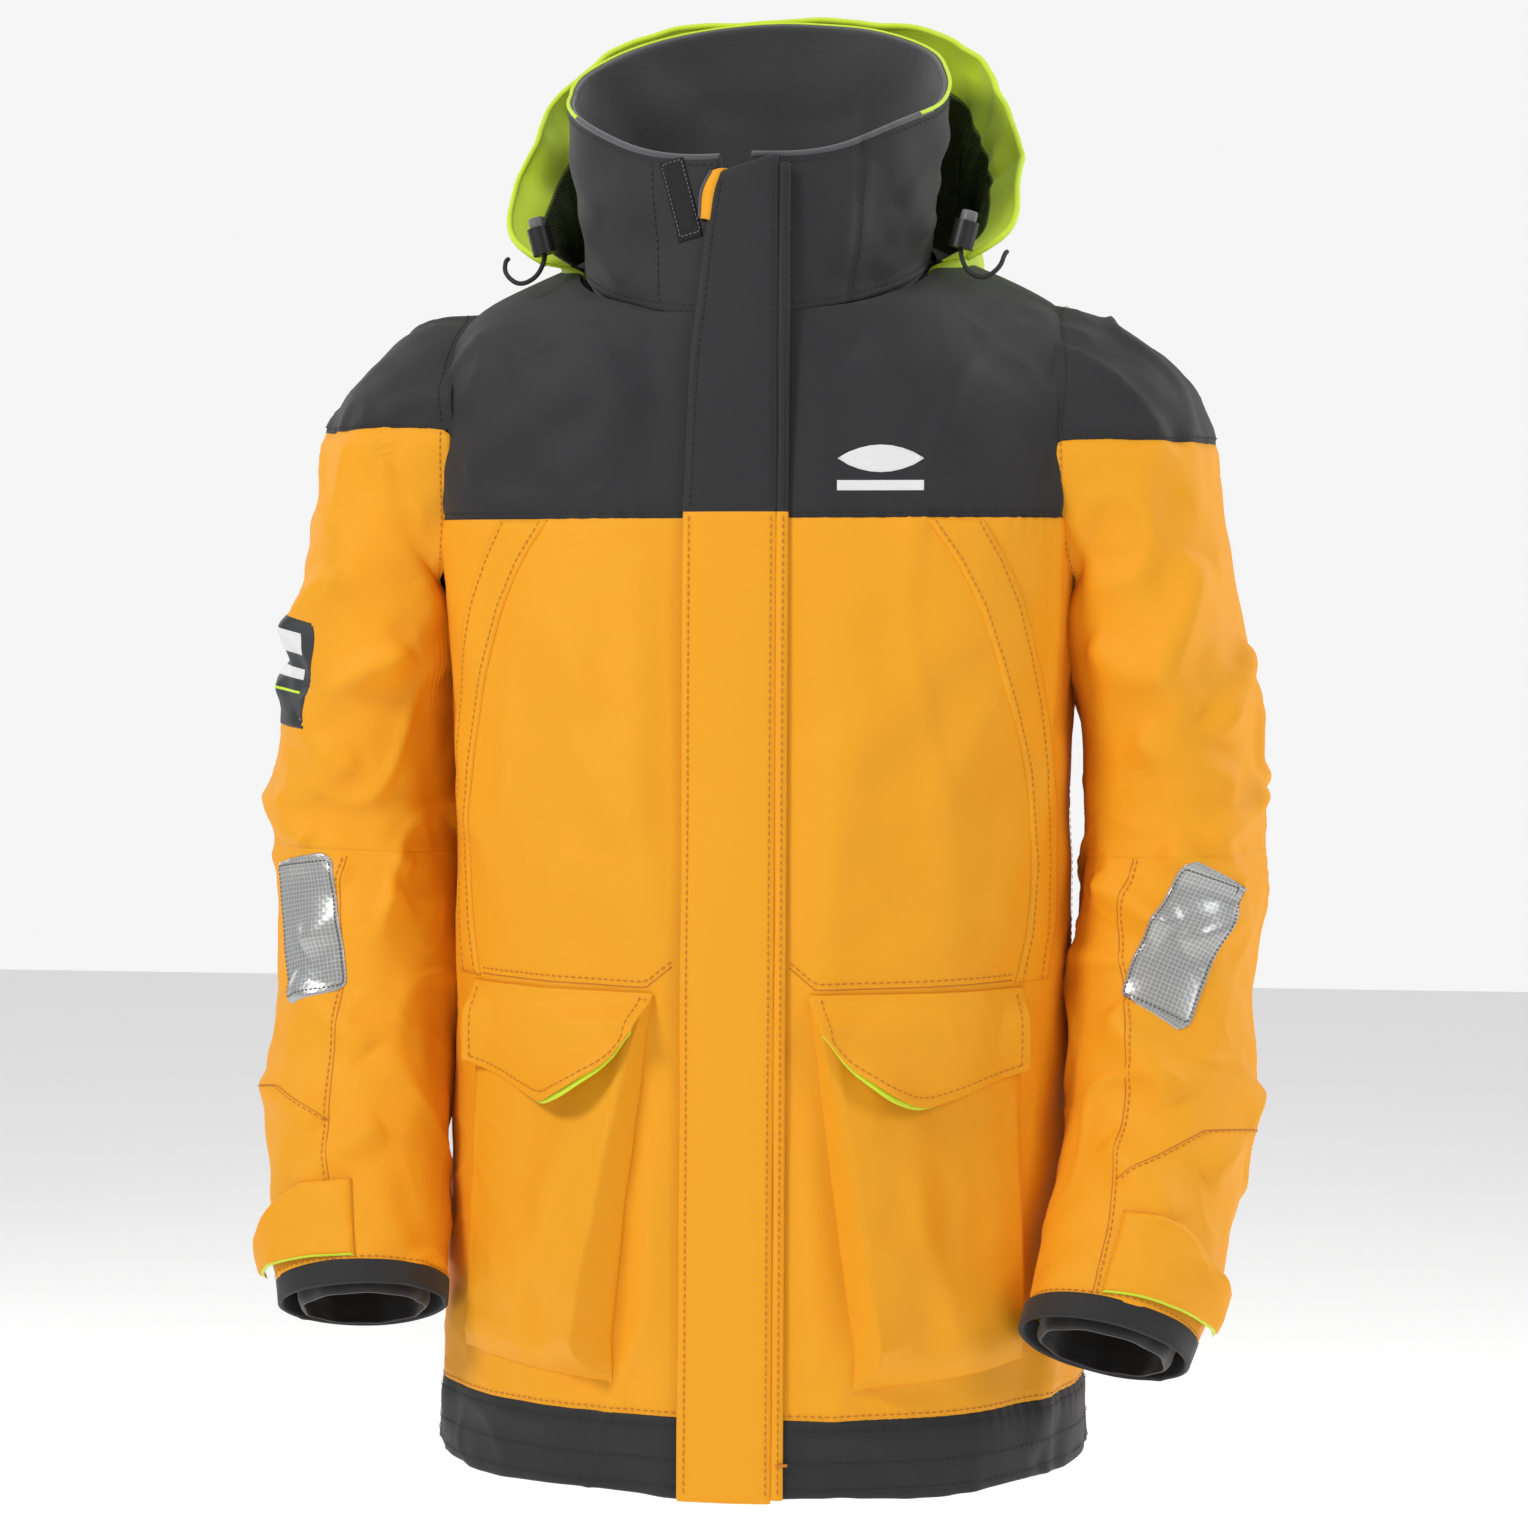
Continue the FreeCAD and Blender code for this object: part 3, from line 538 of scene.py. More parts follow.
def folds(rows, place, widen=1.0):
    """Folds from rows: two ends, which place turns into points, then width, height and sharpness."""
    return [
        (place(a, b), place(c, d), width * MM * widen, height * MM, sharp)
        for a, b, c, d, width, height, sharp in rows
    ]


# Front: drag lines from the armholes and chest to the pockets, the yoke, the hem.
FRONT_FOLDS = [
    (-170, -270, -120, -380, 16, 4.2, 0.3), (-182, -330, -150, -440, 13, 4, 0.3),
    (-110, -240, -72, -420, 20, 3, 0.1), (-60, -230, -45, -470, 18, 2.2, 0.1),
    (-150, -470, -80, -420, 17, 2.8, 0.2), (170, -270, 115, -400, 17, 4.5, 0.3),
    (150, -250, 60, -380, 20, 3.2, 0.1), (186, -340, 150, -470, 13, 4, 0.3),
    (80, -300, 55, -480, 20, 2.6, 0.1), (140, -480, 70, -440, 16, 2.4, 0.2),
    (-75, -110, -170, -190, 22, 4, 0.1), (-55, -130, -110, -200, 18, 2.8, 0.1),
    (75, -110, 165, -185, 22, 4.2, 0.1), (120, -120, 190, -160, 16, 3, 0.1),
    (185, -130, 196, -200, 12, 3, 0.3), (-180, -700, -190, -800, 16, 3, 0.3),
    (186, -690, 180, -800, 16, 3.4, 0.3), (-35, -560, -50, -740, 12, 2, 0.1),
    (40, -560, 46, -740, 12, 2.2, 0.1),
]
# Back: waist gathers, drag between the shoulder blades, hem ripples.
BACK_FOLDS = [
    (-150, -200, -60, -330, 22, 4.5, 0.2), (150, -205, 50, -350, 22, 4.5, 0.2),
    (-180, -430, -20, -475, 17, 4.2, 0.3), (185, -450, 35, -510, 17, 4.4, 0.3),
    (-90, -520, 60, -560, 20, 3.6, 0.2), (-130, -580, -110, -800, 22, 5, 0.1),
    (10, -600, -5, -800, 22, 4.2, 0.1), (125, -570, 135, -800, 22, 5, 0.1),
    (-120, -130, 0, -190, 20, 2.8, 0.1), (130, -120, 30, -200, 20, 2.8, 0.1),
]
TORSO_FOLDS = folds(FRONT_FOLDS, lambda x, z: torso_spot(x, z, -1))
TORSO_FOLDS += folds(BACK_FOLDS, lambda x, z: torso_spot(x, z, 1))


def seam_valley(distance, depth=1.1 * MM, width=3.2 * MM):
    """The sunken valley of a sewn seam, with a slight puff on each side of it."""
    return 0.5 * depth * bell(np.abs(distance), 3 * width, 2 * width) - depth * bell(distance, 0, width)


def pucker(run, distance, reach=11 * MM, height=0.45 * MM, pitch=13 * MM, seed=3.0):
    """Small ripples that a row of stitches draws into the cloth beside it."""
    wave = np.sin(2 * math.pi * run / pitch + 1.7 * np.sin(run * 61 + seed))
    return height * wave * bell(distance, 0, reach)


def torso_lift(p):
    """How far the cloth stands off the smooth torso at points p."""
    x, y, z = p[..., 0], p[..., 1], p[..., 2]
    lift = value_noise(p * (1, 1, 0.4), 0.13, 5) * 0.0022 + value_noise(p, 0.055, 6) * 0.0008
    lift += fold_heights(p, TORSO_FOLDS) * 1.7
    lift += crumple(p * (1, 1, 0.6), 0.16, 71) * 0.0026 + crumple(p, 0.075, 73) * 0.0009
    for seam in (YOKE_Z, HEM_TOP):
        lift += seam_valley(z - seam) + pucker(x + y, z - seam, seed=seam * 9)
    lift += seam_valley((y - SIDE_SEAM_Y) * np.where(np.abs(x) > 0.12, 1, 99))
    lift += ease(-z, 0.770, 0.806) * pucker(x + y, 0 * x, height=0.9 * MM, pitch=46 * MM)
    calm = 1 - ease(-y, 0.10, 0.18) * (1 - ease(np.abs(x), 0.030, 0.062))
    return lift * calm * ease(-z, 0.060, 0.090)


def torso(phi, h, off=0.0):
    """The folded torso surface, moved out by off along its normals."""
    p = torso_smooth(phi, h)
    return p + grid_normals(p, False) * (torso_lift(p) + off)[..., None]


def gap_angle(h, gap=8.0):
    """Angle from the front centre at which the torso is gap millimetres from the middle."""
    rows = smooth_rows(TORSO, np.atleast_1d(h) / MM)
    return np.arcsin((gap / rows[:, 0]) ** (rows[:, 4] / 2))


def torso_panel(name, start, stop, low, high, material, node, step=3.2 * MM):
    """A panel of the torso. An edge is an angle in degrees and 1 or -1 if it stands back from the zip."""
    h = np.linspace(low, high, int((high - low) / step) + 2)
    begin, end = (np.radians(angle) + gap_angle(h) * lean for angle, lean in (start, stop))
    cols = int(abs((end - begin).max()) * 0.2 / step) + 2
    phi = begin[:, None] + (end - begin)[:, None] * np.linspace(0, 1, cols)[None, :]
    done(cloth_grid(name, torso(phi, spread(h, phi[0])[0]), material), "jacket", node)


TORSO_TOP = -0.0535
# Names of the lower and upper cloth and of the CAD parts they replace, then the two edges.
PANELS = (
    ("front_left", "yoke_left", "front_panel_left", "front_yoke_left", (-90, 1), (0, 0)),
    ("front_right", "yoke_right", "front_panel_right", "front_yoke_right", (-180, 0), (-90, -1)),
    ("back", "yoke_back", "back_panel", "back_yoke", (0, 0), (180, 0)),
)
for lower, upper, panel, yoke, *edges in PANELS:
    torso_panel(lower, *edges, HEM_TOP, YOKE_Z, ORANGE, panel)
    torso_panel(upper, *edges, YOKE_Z, TORSO_TOP, CHARCOAL, yoke)

# ---- sleeves --------------------------------------------------------------------------------
SLEEVE_COLS = 132
ELBOW, WRIST, CUFF_EDGE = 5.0, 9.0, 8.83
CAP_SEAM = {"left": -0.167, "right": -0.157}


def sleeve_frames(name, s):
    """Centres, turns and half sizes of the sleeve rings at ring numbers s."""
    rings = np.array(UPPER + FOREARM[name], float)
    rows = smooth_rows(np.column_stack([np.arange(len(rings)), rings]), np.ravel(s))
    centre = rows[:, :3] * MM * (SIDE[name], 1, 1)
    splay, swing = np.radians(rows[:, 5] * -SIDE[name]), np.radians(-rows[:, 6])
    cy, sy, cx, sx = np.cos(splay), np.sin(splay), np.cos(swing), np.sin(swing)
    zero = 0 * cy
    turn_y = np.stack([cy, zero, sy, zero, zero + 1, zero, -sy, zero, cy], -1).reshape(-1, 3, 3)
    turn_x = np.stack([zero + 1, zero, zero, zero, cx, -sx, zero, sx, cx], -1).reshape(-1, 3, 3)
    return centre, turn_y @ turn_x, rows[:, 3] * MM, rows[:, 4] * MM


def sleeve_smooth(name, theta, s, share=1.0, drop=0.0):
    """Points of the unfolded sleeve; theta is 0 outside and -90 in front, share narrows the ring."""
    theta, s, share, drop = np.broadcast_arrays(*(np.asarray(v, float) for v in (theta, s, share, drop)))
    centre, turn, wide, deep = sleeve_frames(name, s)
    flat, part_of = theta.ravel(), share.ravel()
    local = [SIDE[name] * wide * part_of * np.cos(flat), deep * part_of * np.sin(flat), -drop.ravel()]
    return (centre + np.einsum("nij,nj->ni", turn, np.stack(local, -1))).reshape(s.shape + (3,))


# Sleeve folds: ring number and angle of each end, counted from the shoulder point.
SLEEVE_FOLD_TABLE = {
    "right": [
        (1.9, -75, 2.6, -30, 14, 5, 0.2), (2.3, -120, 3, -60, 13, 5.5, 0.3),
        (2.7, -20, 3.3, -85, 13, 6, 0.4), (3.2, -100, 3.7, -40, 12, 6, 0.4),
        (3.6, -10, 3.95, -70, 11, 7, 0.5), (3.9, -60, 4.15, -135, 10, 7.5, 0.6),
        (4.1, -20, 4.25, -95, 10, 6, 0.6), (4.4, -130, 4.9, -60, 13, 5, 0.4),
        (5.2, -50, 5.9, -110, 14, 4.5, 0.3), (6, -20, 6.6, -80, 13, 4.5, 0.3),
        (6.6, -120, 7.1, -60, 13, 3.5, 0.3), (3, 120, 3.5, 50, 15, 6, 0.3),
        (3.7, 40, 4.1, 110, 14, 6, 0.4), (4.4, 130, 4.8, 60, 14, 5.5, 0.3),
        (5.5, 60, 6.3, 110, 15, 4.5, 0.3), (3.3, 160, 3.8, -170, 13, 5, 0.3),
        (2, 30, 2.8, 75, 18, 5, 0.2),
    ],
    "left": [
        (1.9, -50, 2.7, -95, 14, 5.5, 0.3), (2.2, -130, 2.9, -70, 14, 5, 0.3),
        (2.5, -20, 3.1, -60, 14, 5.5, 0.3), (3, -110, 3.5, -45, 13, 6.5, 0.4),
        (3.5, -15, 3.9, -70, 13, 6.5, 0.4), (3.9, -95, 4.3, -40, 12, 6.5, 0.5),
        (4.2, -140, 4.7, -85, 12, 6, 0.4), (4.5, -30, 4.8, -80, 13, 4, 0.3),
        (5.4, -120, 6.2, -80, 15, 4.5, 0.3), (5.8, -10, 6.7, -50, 15, 4.5, 0.3),
        (6.5, -120, 7.1, -70, 13, 3.5, 0.3), (3, 110, 3.6, 50, 15, 6, 0.3),
        (3.8, 50, 4.2, 120, 14, 6, 0.4), (4.6, 130, 5.1, 60, 15, 5, 0.3),
        (5.7, 60, 6.5, 110, 15, 4.5, 0.3), (2, 35, 2.9, 80, 18, 5, 0.2),
    ],
}
SLEEVE_FOLDS = {
    name: folds(rows, lambda s, t, name=name: sleeve_smooth(name, math.radians(t), s + 1.0), 0.85)
    for name, rows in SLEEVE_FOLD_TABLE.items()
}


def sleeve_lift(name, p):
    """How far the cloth stands off the smooth sleeve."""
    seed = len(name)
    lift = value_noise(p * (1, 1, 0.7), 0.085, 11 + seed) * 0.0022 + value_noise(p, 0.038, 21 + seed) * 0.0008
    lift += fold_heights(p, SLEEVE_FOLDS[name]) * 2.5
    lift += crumple(p, 0.12, 81 + seed) * 0.0040 + crumple(p, 0.06, 91 + seed) * 0.0013
    seam = p[..., 2] - CAP_SEAM[name]
    return lift + seam_valley(seam) + pucker(p[..., 1], seam, seed=4.2)


def sleeve_calm(s):
    """Folds fade towards the cuff."""
    return ease(WRIST - s, 0.0, 0.35) * 0.75 + 0.25


def sleeve(name, theta, s, off=0.0, closed=True, calm=None):
    """The folded sleeve surface, with rows running up the arm and columns turning to face out."""
    theta, s = np.broadcast_arrays(theta, s)
    p = sleeve_smooth(name, theta, s)
    lift = sleeve_lift(name, p) * (sleeve_calm(s) if calm is None else calm) + off
    return (p + (grid_normals(p, closed) * SIDE[name]) * lift[..., None])[:, :: SIDE[name]]


def inside_torso(p, margin=0.0):
    """Signed measure: above 0 inside the smooth torso."""
    h = p[..., 2].copy()
    for _ in range(3):
        rows = smooth_rows(TORSO, np.clip(h.ravel() / MM, -807, -52)).reshape(h.shape + (5,))
        h = p[..., 2] - (p[..., 1] - rows[..., 2] * MM) * np.tan(np.radians(rows[..., 3]))
    a, b, power = rows[..., 0] * MM - margin, rows[..., 1] * MM - margin, rows[..., 4]
    ring = np.abs(p[..., 0] / a) ** power + np.abs((p[..., 1] - rows[..., 2] * MM) / b) ** power
    return np.where(h > -0.0525, -1.0, 1 - ring)


def crossing(values, at, default):
    """Last place along the columns of values where they turn from above to below zero."""
    out = np.full(values.shape[1], default, float)
    for j, column in enumerate(values.T):
        hits = np.where((column[:-1] > 0) & (column[1:] <= 0))[0]
        if len(hits):
            i = hits[-1]
            out[j] = at[i] + column[i] / (column[i] - column[i + 1]) * (at[i + 1] - at[i])
    return out


def ring_smooth(values, times=6):
    """Softens values that go round a ring."""
    for _ in range(times):
        values = (np.roll(values, 1) + 2 * values + np.roll(values, -1)) / 4
    return values


RING = np.linspace(-math.pi, math.pi, SLEEVE_COLS, endpoint=False)


def armhole(name):
    """Ring numbers, for each angle of a sleeve, of the armhole and of the cap seam."""
    probe = np.linspace(0.0, 4.4, 260)
    p = sleeve_smooth(name, RING[None, :], probe[:, None])
    start = ring_smooth(crossing(inside_torso(p), probe, 0.5))
    return start, crossing(p[..., 2] - CAP_SEAM[name], probe, 0.0)


def blended_sleeve(name, s, columns, cloth, node, material, joint, closed=True):
    """Cloth over the given ring numbers of a sleeve, one column for each angle chosen."""
    full = np.zeros((len(s), SLEEVE_COLS))
    full[:, columns] = s
    picked = np.arange(SLEEVE_COLS)[columns][:: SIDE[name]]
    grid = sleeve(name, RING, full)[:, :: SIDE[name]][:, picked]
    bending(cloth_grid(cloth + name, grid, material, closed=closed), name, joint, node + name)


for name, side in SIDES:
    start, split = armhole(name)
    # Lower sleeve: elbow up to the cap seam or the armhole, whichever comes first.
    top = ring_smooth(np.maximum(start - 0.07, split), 1)
    s = ELBOW + (top[None, :] - ELBOW) * np.linspace(0, 1, 92)[:, None]
    blended_sleeve(name, s, slice(None), "upper_sleeve_cloth_", "upper_sleeve_", ORANGE, SHOULDER)
    # Cap: only the columns whose armhole is above the seam.
    tall = np.where(split > start - 0.07)[0]
    tall = np.arange(tall[0] - 1, tall[-1] + 2)
    low, high = np.maximum(split, start - 0.07)[tall], (start - 0.09)[tall]
    s = low[None, :] + (high - low)[None, :] * np.linspace(0, 1, 40)[:, None]
    blended_sleeve(name, s, tall, "sleeve_cap_cloth_", "sleeve_cap_", CHARCOAL, SHOULDER, closed=False)
    s = np.linspace(CUFF_EDGE, ELBOW, 150)[:, None]
    blended_sleeve(name, s, slice(None), "forearm_cloth_", "forearm_", ORANGE, ELBOW_BEND)


# ---- placing things on the cloth ------------------------------------------------------------


def surface_of(*names):
    """A tree for finding places on the outside of finished cloth."""
    verts, faces = [], []
    for obj in (bpy.data.objects[name] for name in names):
        base = len(verts)
        verts += [obj.matrix_world @ v.co for v in obj.data.vertices]
        faces += [[base + k for k in poly.vertices] for poly in obj.data.polygons]
    return BVHTree.FromPolygons(verts, faces)


def shoot(tree, starts, way, reach=2.0):
    """Where rays along way meet the surface, or the nearest place, with normals facing the ray."""
    way = Vector(way).normalized()
    hits = []
    for start in starts.reshape(-1, 3):
        place, normal, _, _ = tree.ray_cast(Vector(start), way, reach)
        if place is None:
            place, normal, _, _ = tree.find_nearest(Vector(start) + way * 0.5)
        elif normal.dot(way) > 0:
            normal = -normal
        hits.append((place, normal))
    hits = np.array(hits)
    return hits[:, 0].reshape(starts.shape), hits[:, 1].reshape(starts.shape)


def smooth_normals(normals, times=3):
    """Softens normals over a grid, each with the ones beside it."""
    for _ in range(times):
        wide = np.pad(normals, ((1, 1), (1, 1), (0, 0)), mode="edge")
        beside = wide[:-2, 1:-1] + wide[2:, 1:-1] + wide[1:-1, :-2] + wide[1:-1, 2:]
        normals = unit(wide[1:-1, 1:-1] + beside)
    return normals


def ruled(left, right, step, curve=False):
    """Even grid of flat points between a left and a right line, each given bottom to top."""
    rows = max(3, int(max(run_along(left)[-1], run_along(right)[-1]) / step) + 2)
    a, b = (even(line, rows, curve=curve and len(line) > 2) for line in (left, right))
    cols = max(3, int(np.linalg.norm(b - a, axis=1).max() / step) + 2)
    t = np.linspace(0, 1, cols)[None, :, None]
    return a[:, None, :] * (1 - t) + b[:, None, :] * t


def edge_distance(grid):
    """Distance from each grid point to the nearest edge of the grid."""
    rows, cols = grid.shape[:2]
    up, across = (np.linalg.norm(np.diff(grid, axis=k), axis=-1).mean() for k in (0, 1))
    i, j = np.meshgrid(np.arange(rows), np.arange(cols), indexing="ij")
    return np.minimum(np.minimum(i, rows - 1 - i) * up, np.minimum(j, cols - 1 - j) * across)


def laid_patch(name, flat, tree, material, off, thick):
    """A flat pattern laid on the front of cloth."""
    points, normals = shoot(tree, from_front(flat), FORWARD)
    normals = smooth_normals(normals)
    rounding = 1 - 0.55 * np.exp(-edge_distance(points) / (1.6 * MM))
    grid = points + normals * (off * rounding)[..., None]
    if (grid_normals(grid, False) * normals).sum() < 0:
        grid = grid[:, ::-1]
    return cloth_grid(name, grid, material, thick=thick)


def from_front(flat):
    """Ray starts in front of the jacket for flat points (x, z)."""
    return np.stack([flat[..., 0], np.full(flat.shape[:-1], -1.0), flat[..., 1]], -1)


FORWARD = (0, 1, 0)
TORSO_TREE = surface_of("front_left", "front_right", "yoke_left", "yoke_right", "back", "yoke_back")

# ---- hem band, lining and collar -------------------------------------------------------------
h = np.linspace(HEM_Z, HEM_TOP + 0.0015, 18)
gap = gap_angle(h)[:, None]
phi = FRONT + gap + (2 * math.pi - 2 * gap) * np.linspace(0, 1, 420)[None, :]
grid = torso(phi, spread(h, phi[0])[0], 0.9 * MM)
grid[..., 2] += 0.0012 * np.sin(phi * 9 + 1.0) * ease(-h, 0.77, 0.806)[:, None]
done(cloth_grid("hem_band_cloth", grid, CHARCOAL, thick=2.4 * MM), "jacket", "hem_band")

h = np.linspace(HEM_Z + 0.004, TORSO_TOP, 130)
phi = FRONT + np.linspace(0.05, 2 * math.pi - 0.05, 240)
h, phi = spread(h, phi)
done(cloth_grid("lining_cloth", torso(phi, h, -5.5 * MM), LINING, thick=0.8 * MM), "jacket", "body_lining")


def collar_smooth(phi, v):
    """Collar surface: v is 0 at the neck seam and 1 at the top edge."""
    phi, v = np.broadcast_arrays(np.asarray(phi, float), np.asarray(v, float))
    row = COLLAR[0] + (COLLAR[1] - COLLAR[0]) * v[..., None]
    h, a, b, mid = (row[..., k] * MM for k in range(4))
    tilt, around = np.radians(row[..., 4]), b * np.sin(phi)
    return np.stack([a * np.cos(phi), mid + around * np.cos(tilt), h + around * np.sin(tilt)], -1)


# Collar folds: angle in degrees and height share of each end.
COLLAR_FOLDS = [
    (-42, 0.12, -8, 0.32, 7, 4, 0.4), (-38, 0.3, -4, 0.52, 7, 3.8, 0.4),
    (-34, 0.5, -2, 0.78, 8, 3.2, 0.3), (-60, 0.2, -48, 0.85, 12, 2.2, 0.1),
    (-130, 0.1, -165, 0.45, 9, 3, 0.3), (-140, 0.45, -175, 0.75, 10, 2.6, 0.3),
    (40, 0.2, 130, 0.32, 11, 3.5, 0.2), (60, 0.55, 120, 0.62, 12, 2.8, 0.2),
]
COLLAR_FOLDS = folds(COLLAR_FOLDS, lambda turn, v: collar_smooth(math.radians(turn), v))


def collar(phi, v, off=0.0):
    """The folded collar surface."""
    p = collar_smooth(phi, v)
    front = ease(-p[..., 1], 0.16, 0.20) * (1 - ease(np.abs(p[..., 0]), 0.030, 0.055))
    lift = value_noise(p, 0.06, 31) * 0.0013 + fold_heights(p, COLLAR_FOLDS) * 1.5
    lift *= (1 - front) * ease(v, 0.0, 0.12)
    for angle in COLLAR_SEAMS:
        away = (phi - math.radians(angle)) * COLLAR_RADIUS
        lift += seam_valley(away, 0.8 * MM, 2.4 * MM) * (1 - front)
    return p + grid_normals(p, False) * (lift + off)[..., None]


def collar_turns(gap):
    """Angles round the collar, from a gap beside the front centre round to the same on the other side."""
    gap = math.asin(gap / COLLAR_RADIUS)
    return FRONT + np.linspace(gap, 2 * math.pi - gap, 300)


COLLAR_PHI = collar_turns(9.0 * MM)


def collar_grid(low, high, off, turns=COLLAR_PHI, count=46):
    """A collar surface whose top edge waves a little at each side of the front."""
    v, phi = spread(np.linspace(low, high, count), turns)
    wave = 0.018 * np.sin(phi * 7) * (phi < 0) + 0.020 * np.sin(phi * 5 + 2) * (phi > math.pi)
    return collar(phi, v + wave * v**4, off)


grid = collar_grid(-0.01, 1.0, 0.0)
done(cloth_grid("collar_outer", grid, CHARCOAL, thick=2.0 * MM), "jacket", "collar_shell")
COLLAR_TREE = surface_of("collar_outer")
outer_edge = grid[-1]
grid = collar_grid(-0.05, 0.985, -2.6 * MM)
done(cloth_grid("collar_inner", grid, FLEECE, thick=2.2 * MM), "jacket", "collar_lining")
inner_edge = grid[-1]
middle = (outer_edge + inner_edge) / 2
piped = (COLLAR_PHI > math.radians(-28)) & (COLLAR_PHI < math.radians(208))
left, right = COLLAR_PHI <= math.radians(-20), COLLAR_PHI >= math.radians(200)
for name, line, choice, rise, radius, material in (
    ("collar_piping", outer_edge, piped, 0.9, 1.25, HI_VIS),
    ("collar_edge_left", middle, left, 0.6, 2.1, FLEECE_EDGE),
    ("collar_edge_right", middle, right, 0.6, 2.1, FLEECE_EDGE),
    ("collar_edge_back", inner_edge, piped, 0.2, 1.8, FLEECE_EDGE),
):
    done(tube_mesh(name, (line + UP * rise * MM)[choice], radius * MM, material), "jacket")

# ---- storm flap -----------------------------------------------------------------------------
FRONT_Y = -0.226
FLAP_SEAM = 0.0262
STRIP_IN, STRIP_OUT = 0.0268, 0.0338
LENGTH = 0.80775
YOKE_UP = (YOKE_Z - HEM_Z) / math.cos(LEAN)


def flap_place(x, up, off):
    """A point of the storm flap: x across, up along the sloping front from the hem, off outward."""
    y = FRONT_Y + up * math.sin(LEAN) - off * math.cos(LEAN)
    return np.stack([x, y + 0 * x, HEM_Z + up * math.cos(LEAN) + off * math.sin(LEAN) + 0 * x], -1)


def flap_cloth(name, left, material, node, off=1.7 * MM, bow=1.6 * MM, thick=1.8 * MM, seed=41):
    """A part of the storm flap between a free left line and the straight seam."""
    right = [(FLAP_SEAM, up) for x, up in left]
    if len(left) > 2:
        right[-1] = (FLAP_SEAM, LENGTH + 0.003)
    flat = ruled(left, right, 3.0 * MM)
    x, up = flat[..., 0], flat[..., 1]
    lift = value_noise(flap_place(x, up, 0 * x) * (1, 1, 0.35), 0.055, seed) * 0.0008
    q = (x - x[:, :1]) / (x[:, -1:] - x[:, :1])
    lift += bow * np.sin(math.pi * np.clip(q, 0, 1)) ** 0.7 + off
    free = np.exp(-(x - x[:, :1]) / 0.004)
    lift += free * (0.5 * MM + 0.7 * MM * np.sin(up * 38) * np.sin(up * 11 + 1))
    done(cloth_grid(name, flap_place(x, up, lift + thick), material, thick=thick), "storm_flap", node)


def seam_strip(name, low, high, material, *nodes):
    """The raised seam along the fixed side of the storm flap."""
    left, right = ([(edge, low), (edge, high)] for edge in (STRIP_IN, STRIP_OUT))
    flat = ruled(left, right, 2.2 * MM)
    x, up = flat[..., 0], flat[..., 1]
    q = (x - STRIP_IN) / (STRIP_OUT - STRIP_IN)
    lift = 1.0 * MM + 2.2 * MM * np.sin(math.pi * np.clip(0.25 + 0.6 * q, 0, 1))
    done(cloth_grid(name, flap_place(x, up, lift), material, thick=1.2 * MM), "jacket", *nodes)


flap_cloth("storm_flap_orange", [(-0.030, -0.002), (-0.0295, YOKE_UP)], ORANGE, "storm_flap_lower")
left = [(-0.0295, YOKE_UP), (-0.0255, LENGTH - 0.12), (-0.0165, LENGTH - 0.04), (-0.0105, LENGTH - 0.008)]
flap_cloth("storm_flap_charcoal", left, CHARCOAL, "storm_flap_upper")
FLAP_TREE = surface_of("storm_flap_orange", "storm_flap_charcoal")
seam_strip("flap_seam_orange", 0.0, YOKE_UP, ORANGE, "storm_flap_seam")
seam_strip("flap_seam_charcoal", YOKE_UP, LENGTH - 0.002, CHARCOAL)

# ---- cargo pockets ---------------------------------------------------------------------------
POCKET_TURN = math.radians(29.5)
POCKET_X, POCKET_Y, POCKET_WIDE = 0.043, -0.2095, 0.140
MOUTH_Z, FACE_FOOT_Z, FOOT_Z = -0.507, -0.716, -0.744


def pocket_spots(side, w, z):
    """Places on the slanted plane of a pocket, where the torso lies behind them, and outward."""
    across = np.array([side * math.cos(POCKET_TURN), math.sin(POCKET_TURN), 0])
    outward = np.array([side * math.sin(POCKET_TURN), -math.cos(POCKET_TURN), 0])
    spots = np.array([side * POCKET_X, POCKET_Y, 0]) + w[..., None] * across + z[..., None] * UP
    hits, _ = shoot(TORSO_TREE, spots + outward * 0.3, -outward)
    return spots, (hits - spots) @ outward, outward


def pocket_depth(w, t):
    """How far the pocket face stands out: deep at the zip end and the foot."""
    q = np.clip(w / POCKET_WIDE, 0, 1)
    return (0.011 + 0.047 * t**0.85) * (1 - q) + (0.009 + 0.018 * t) * q


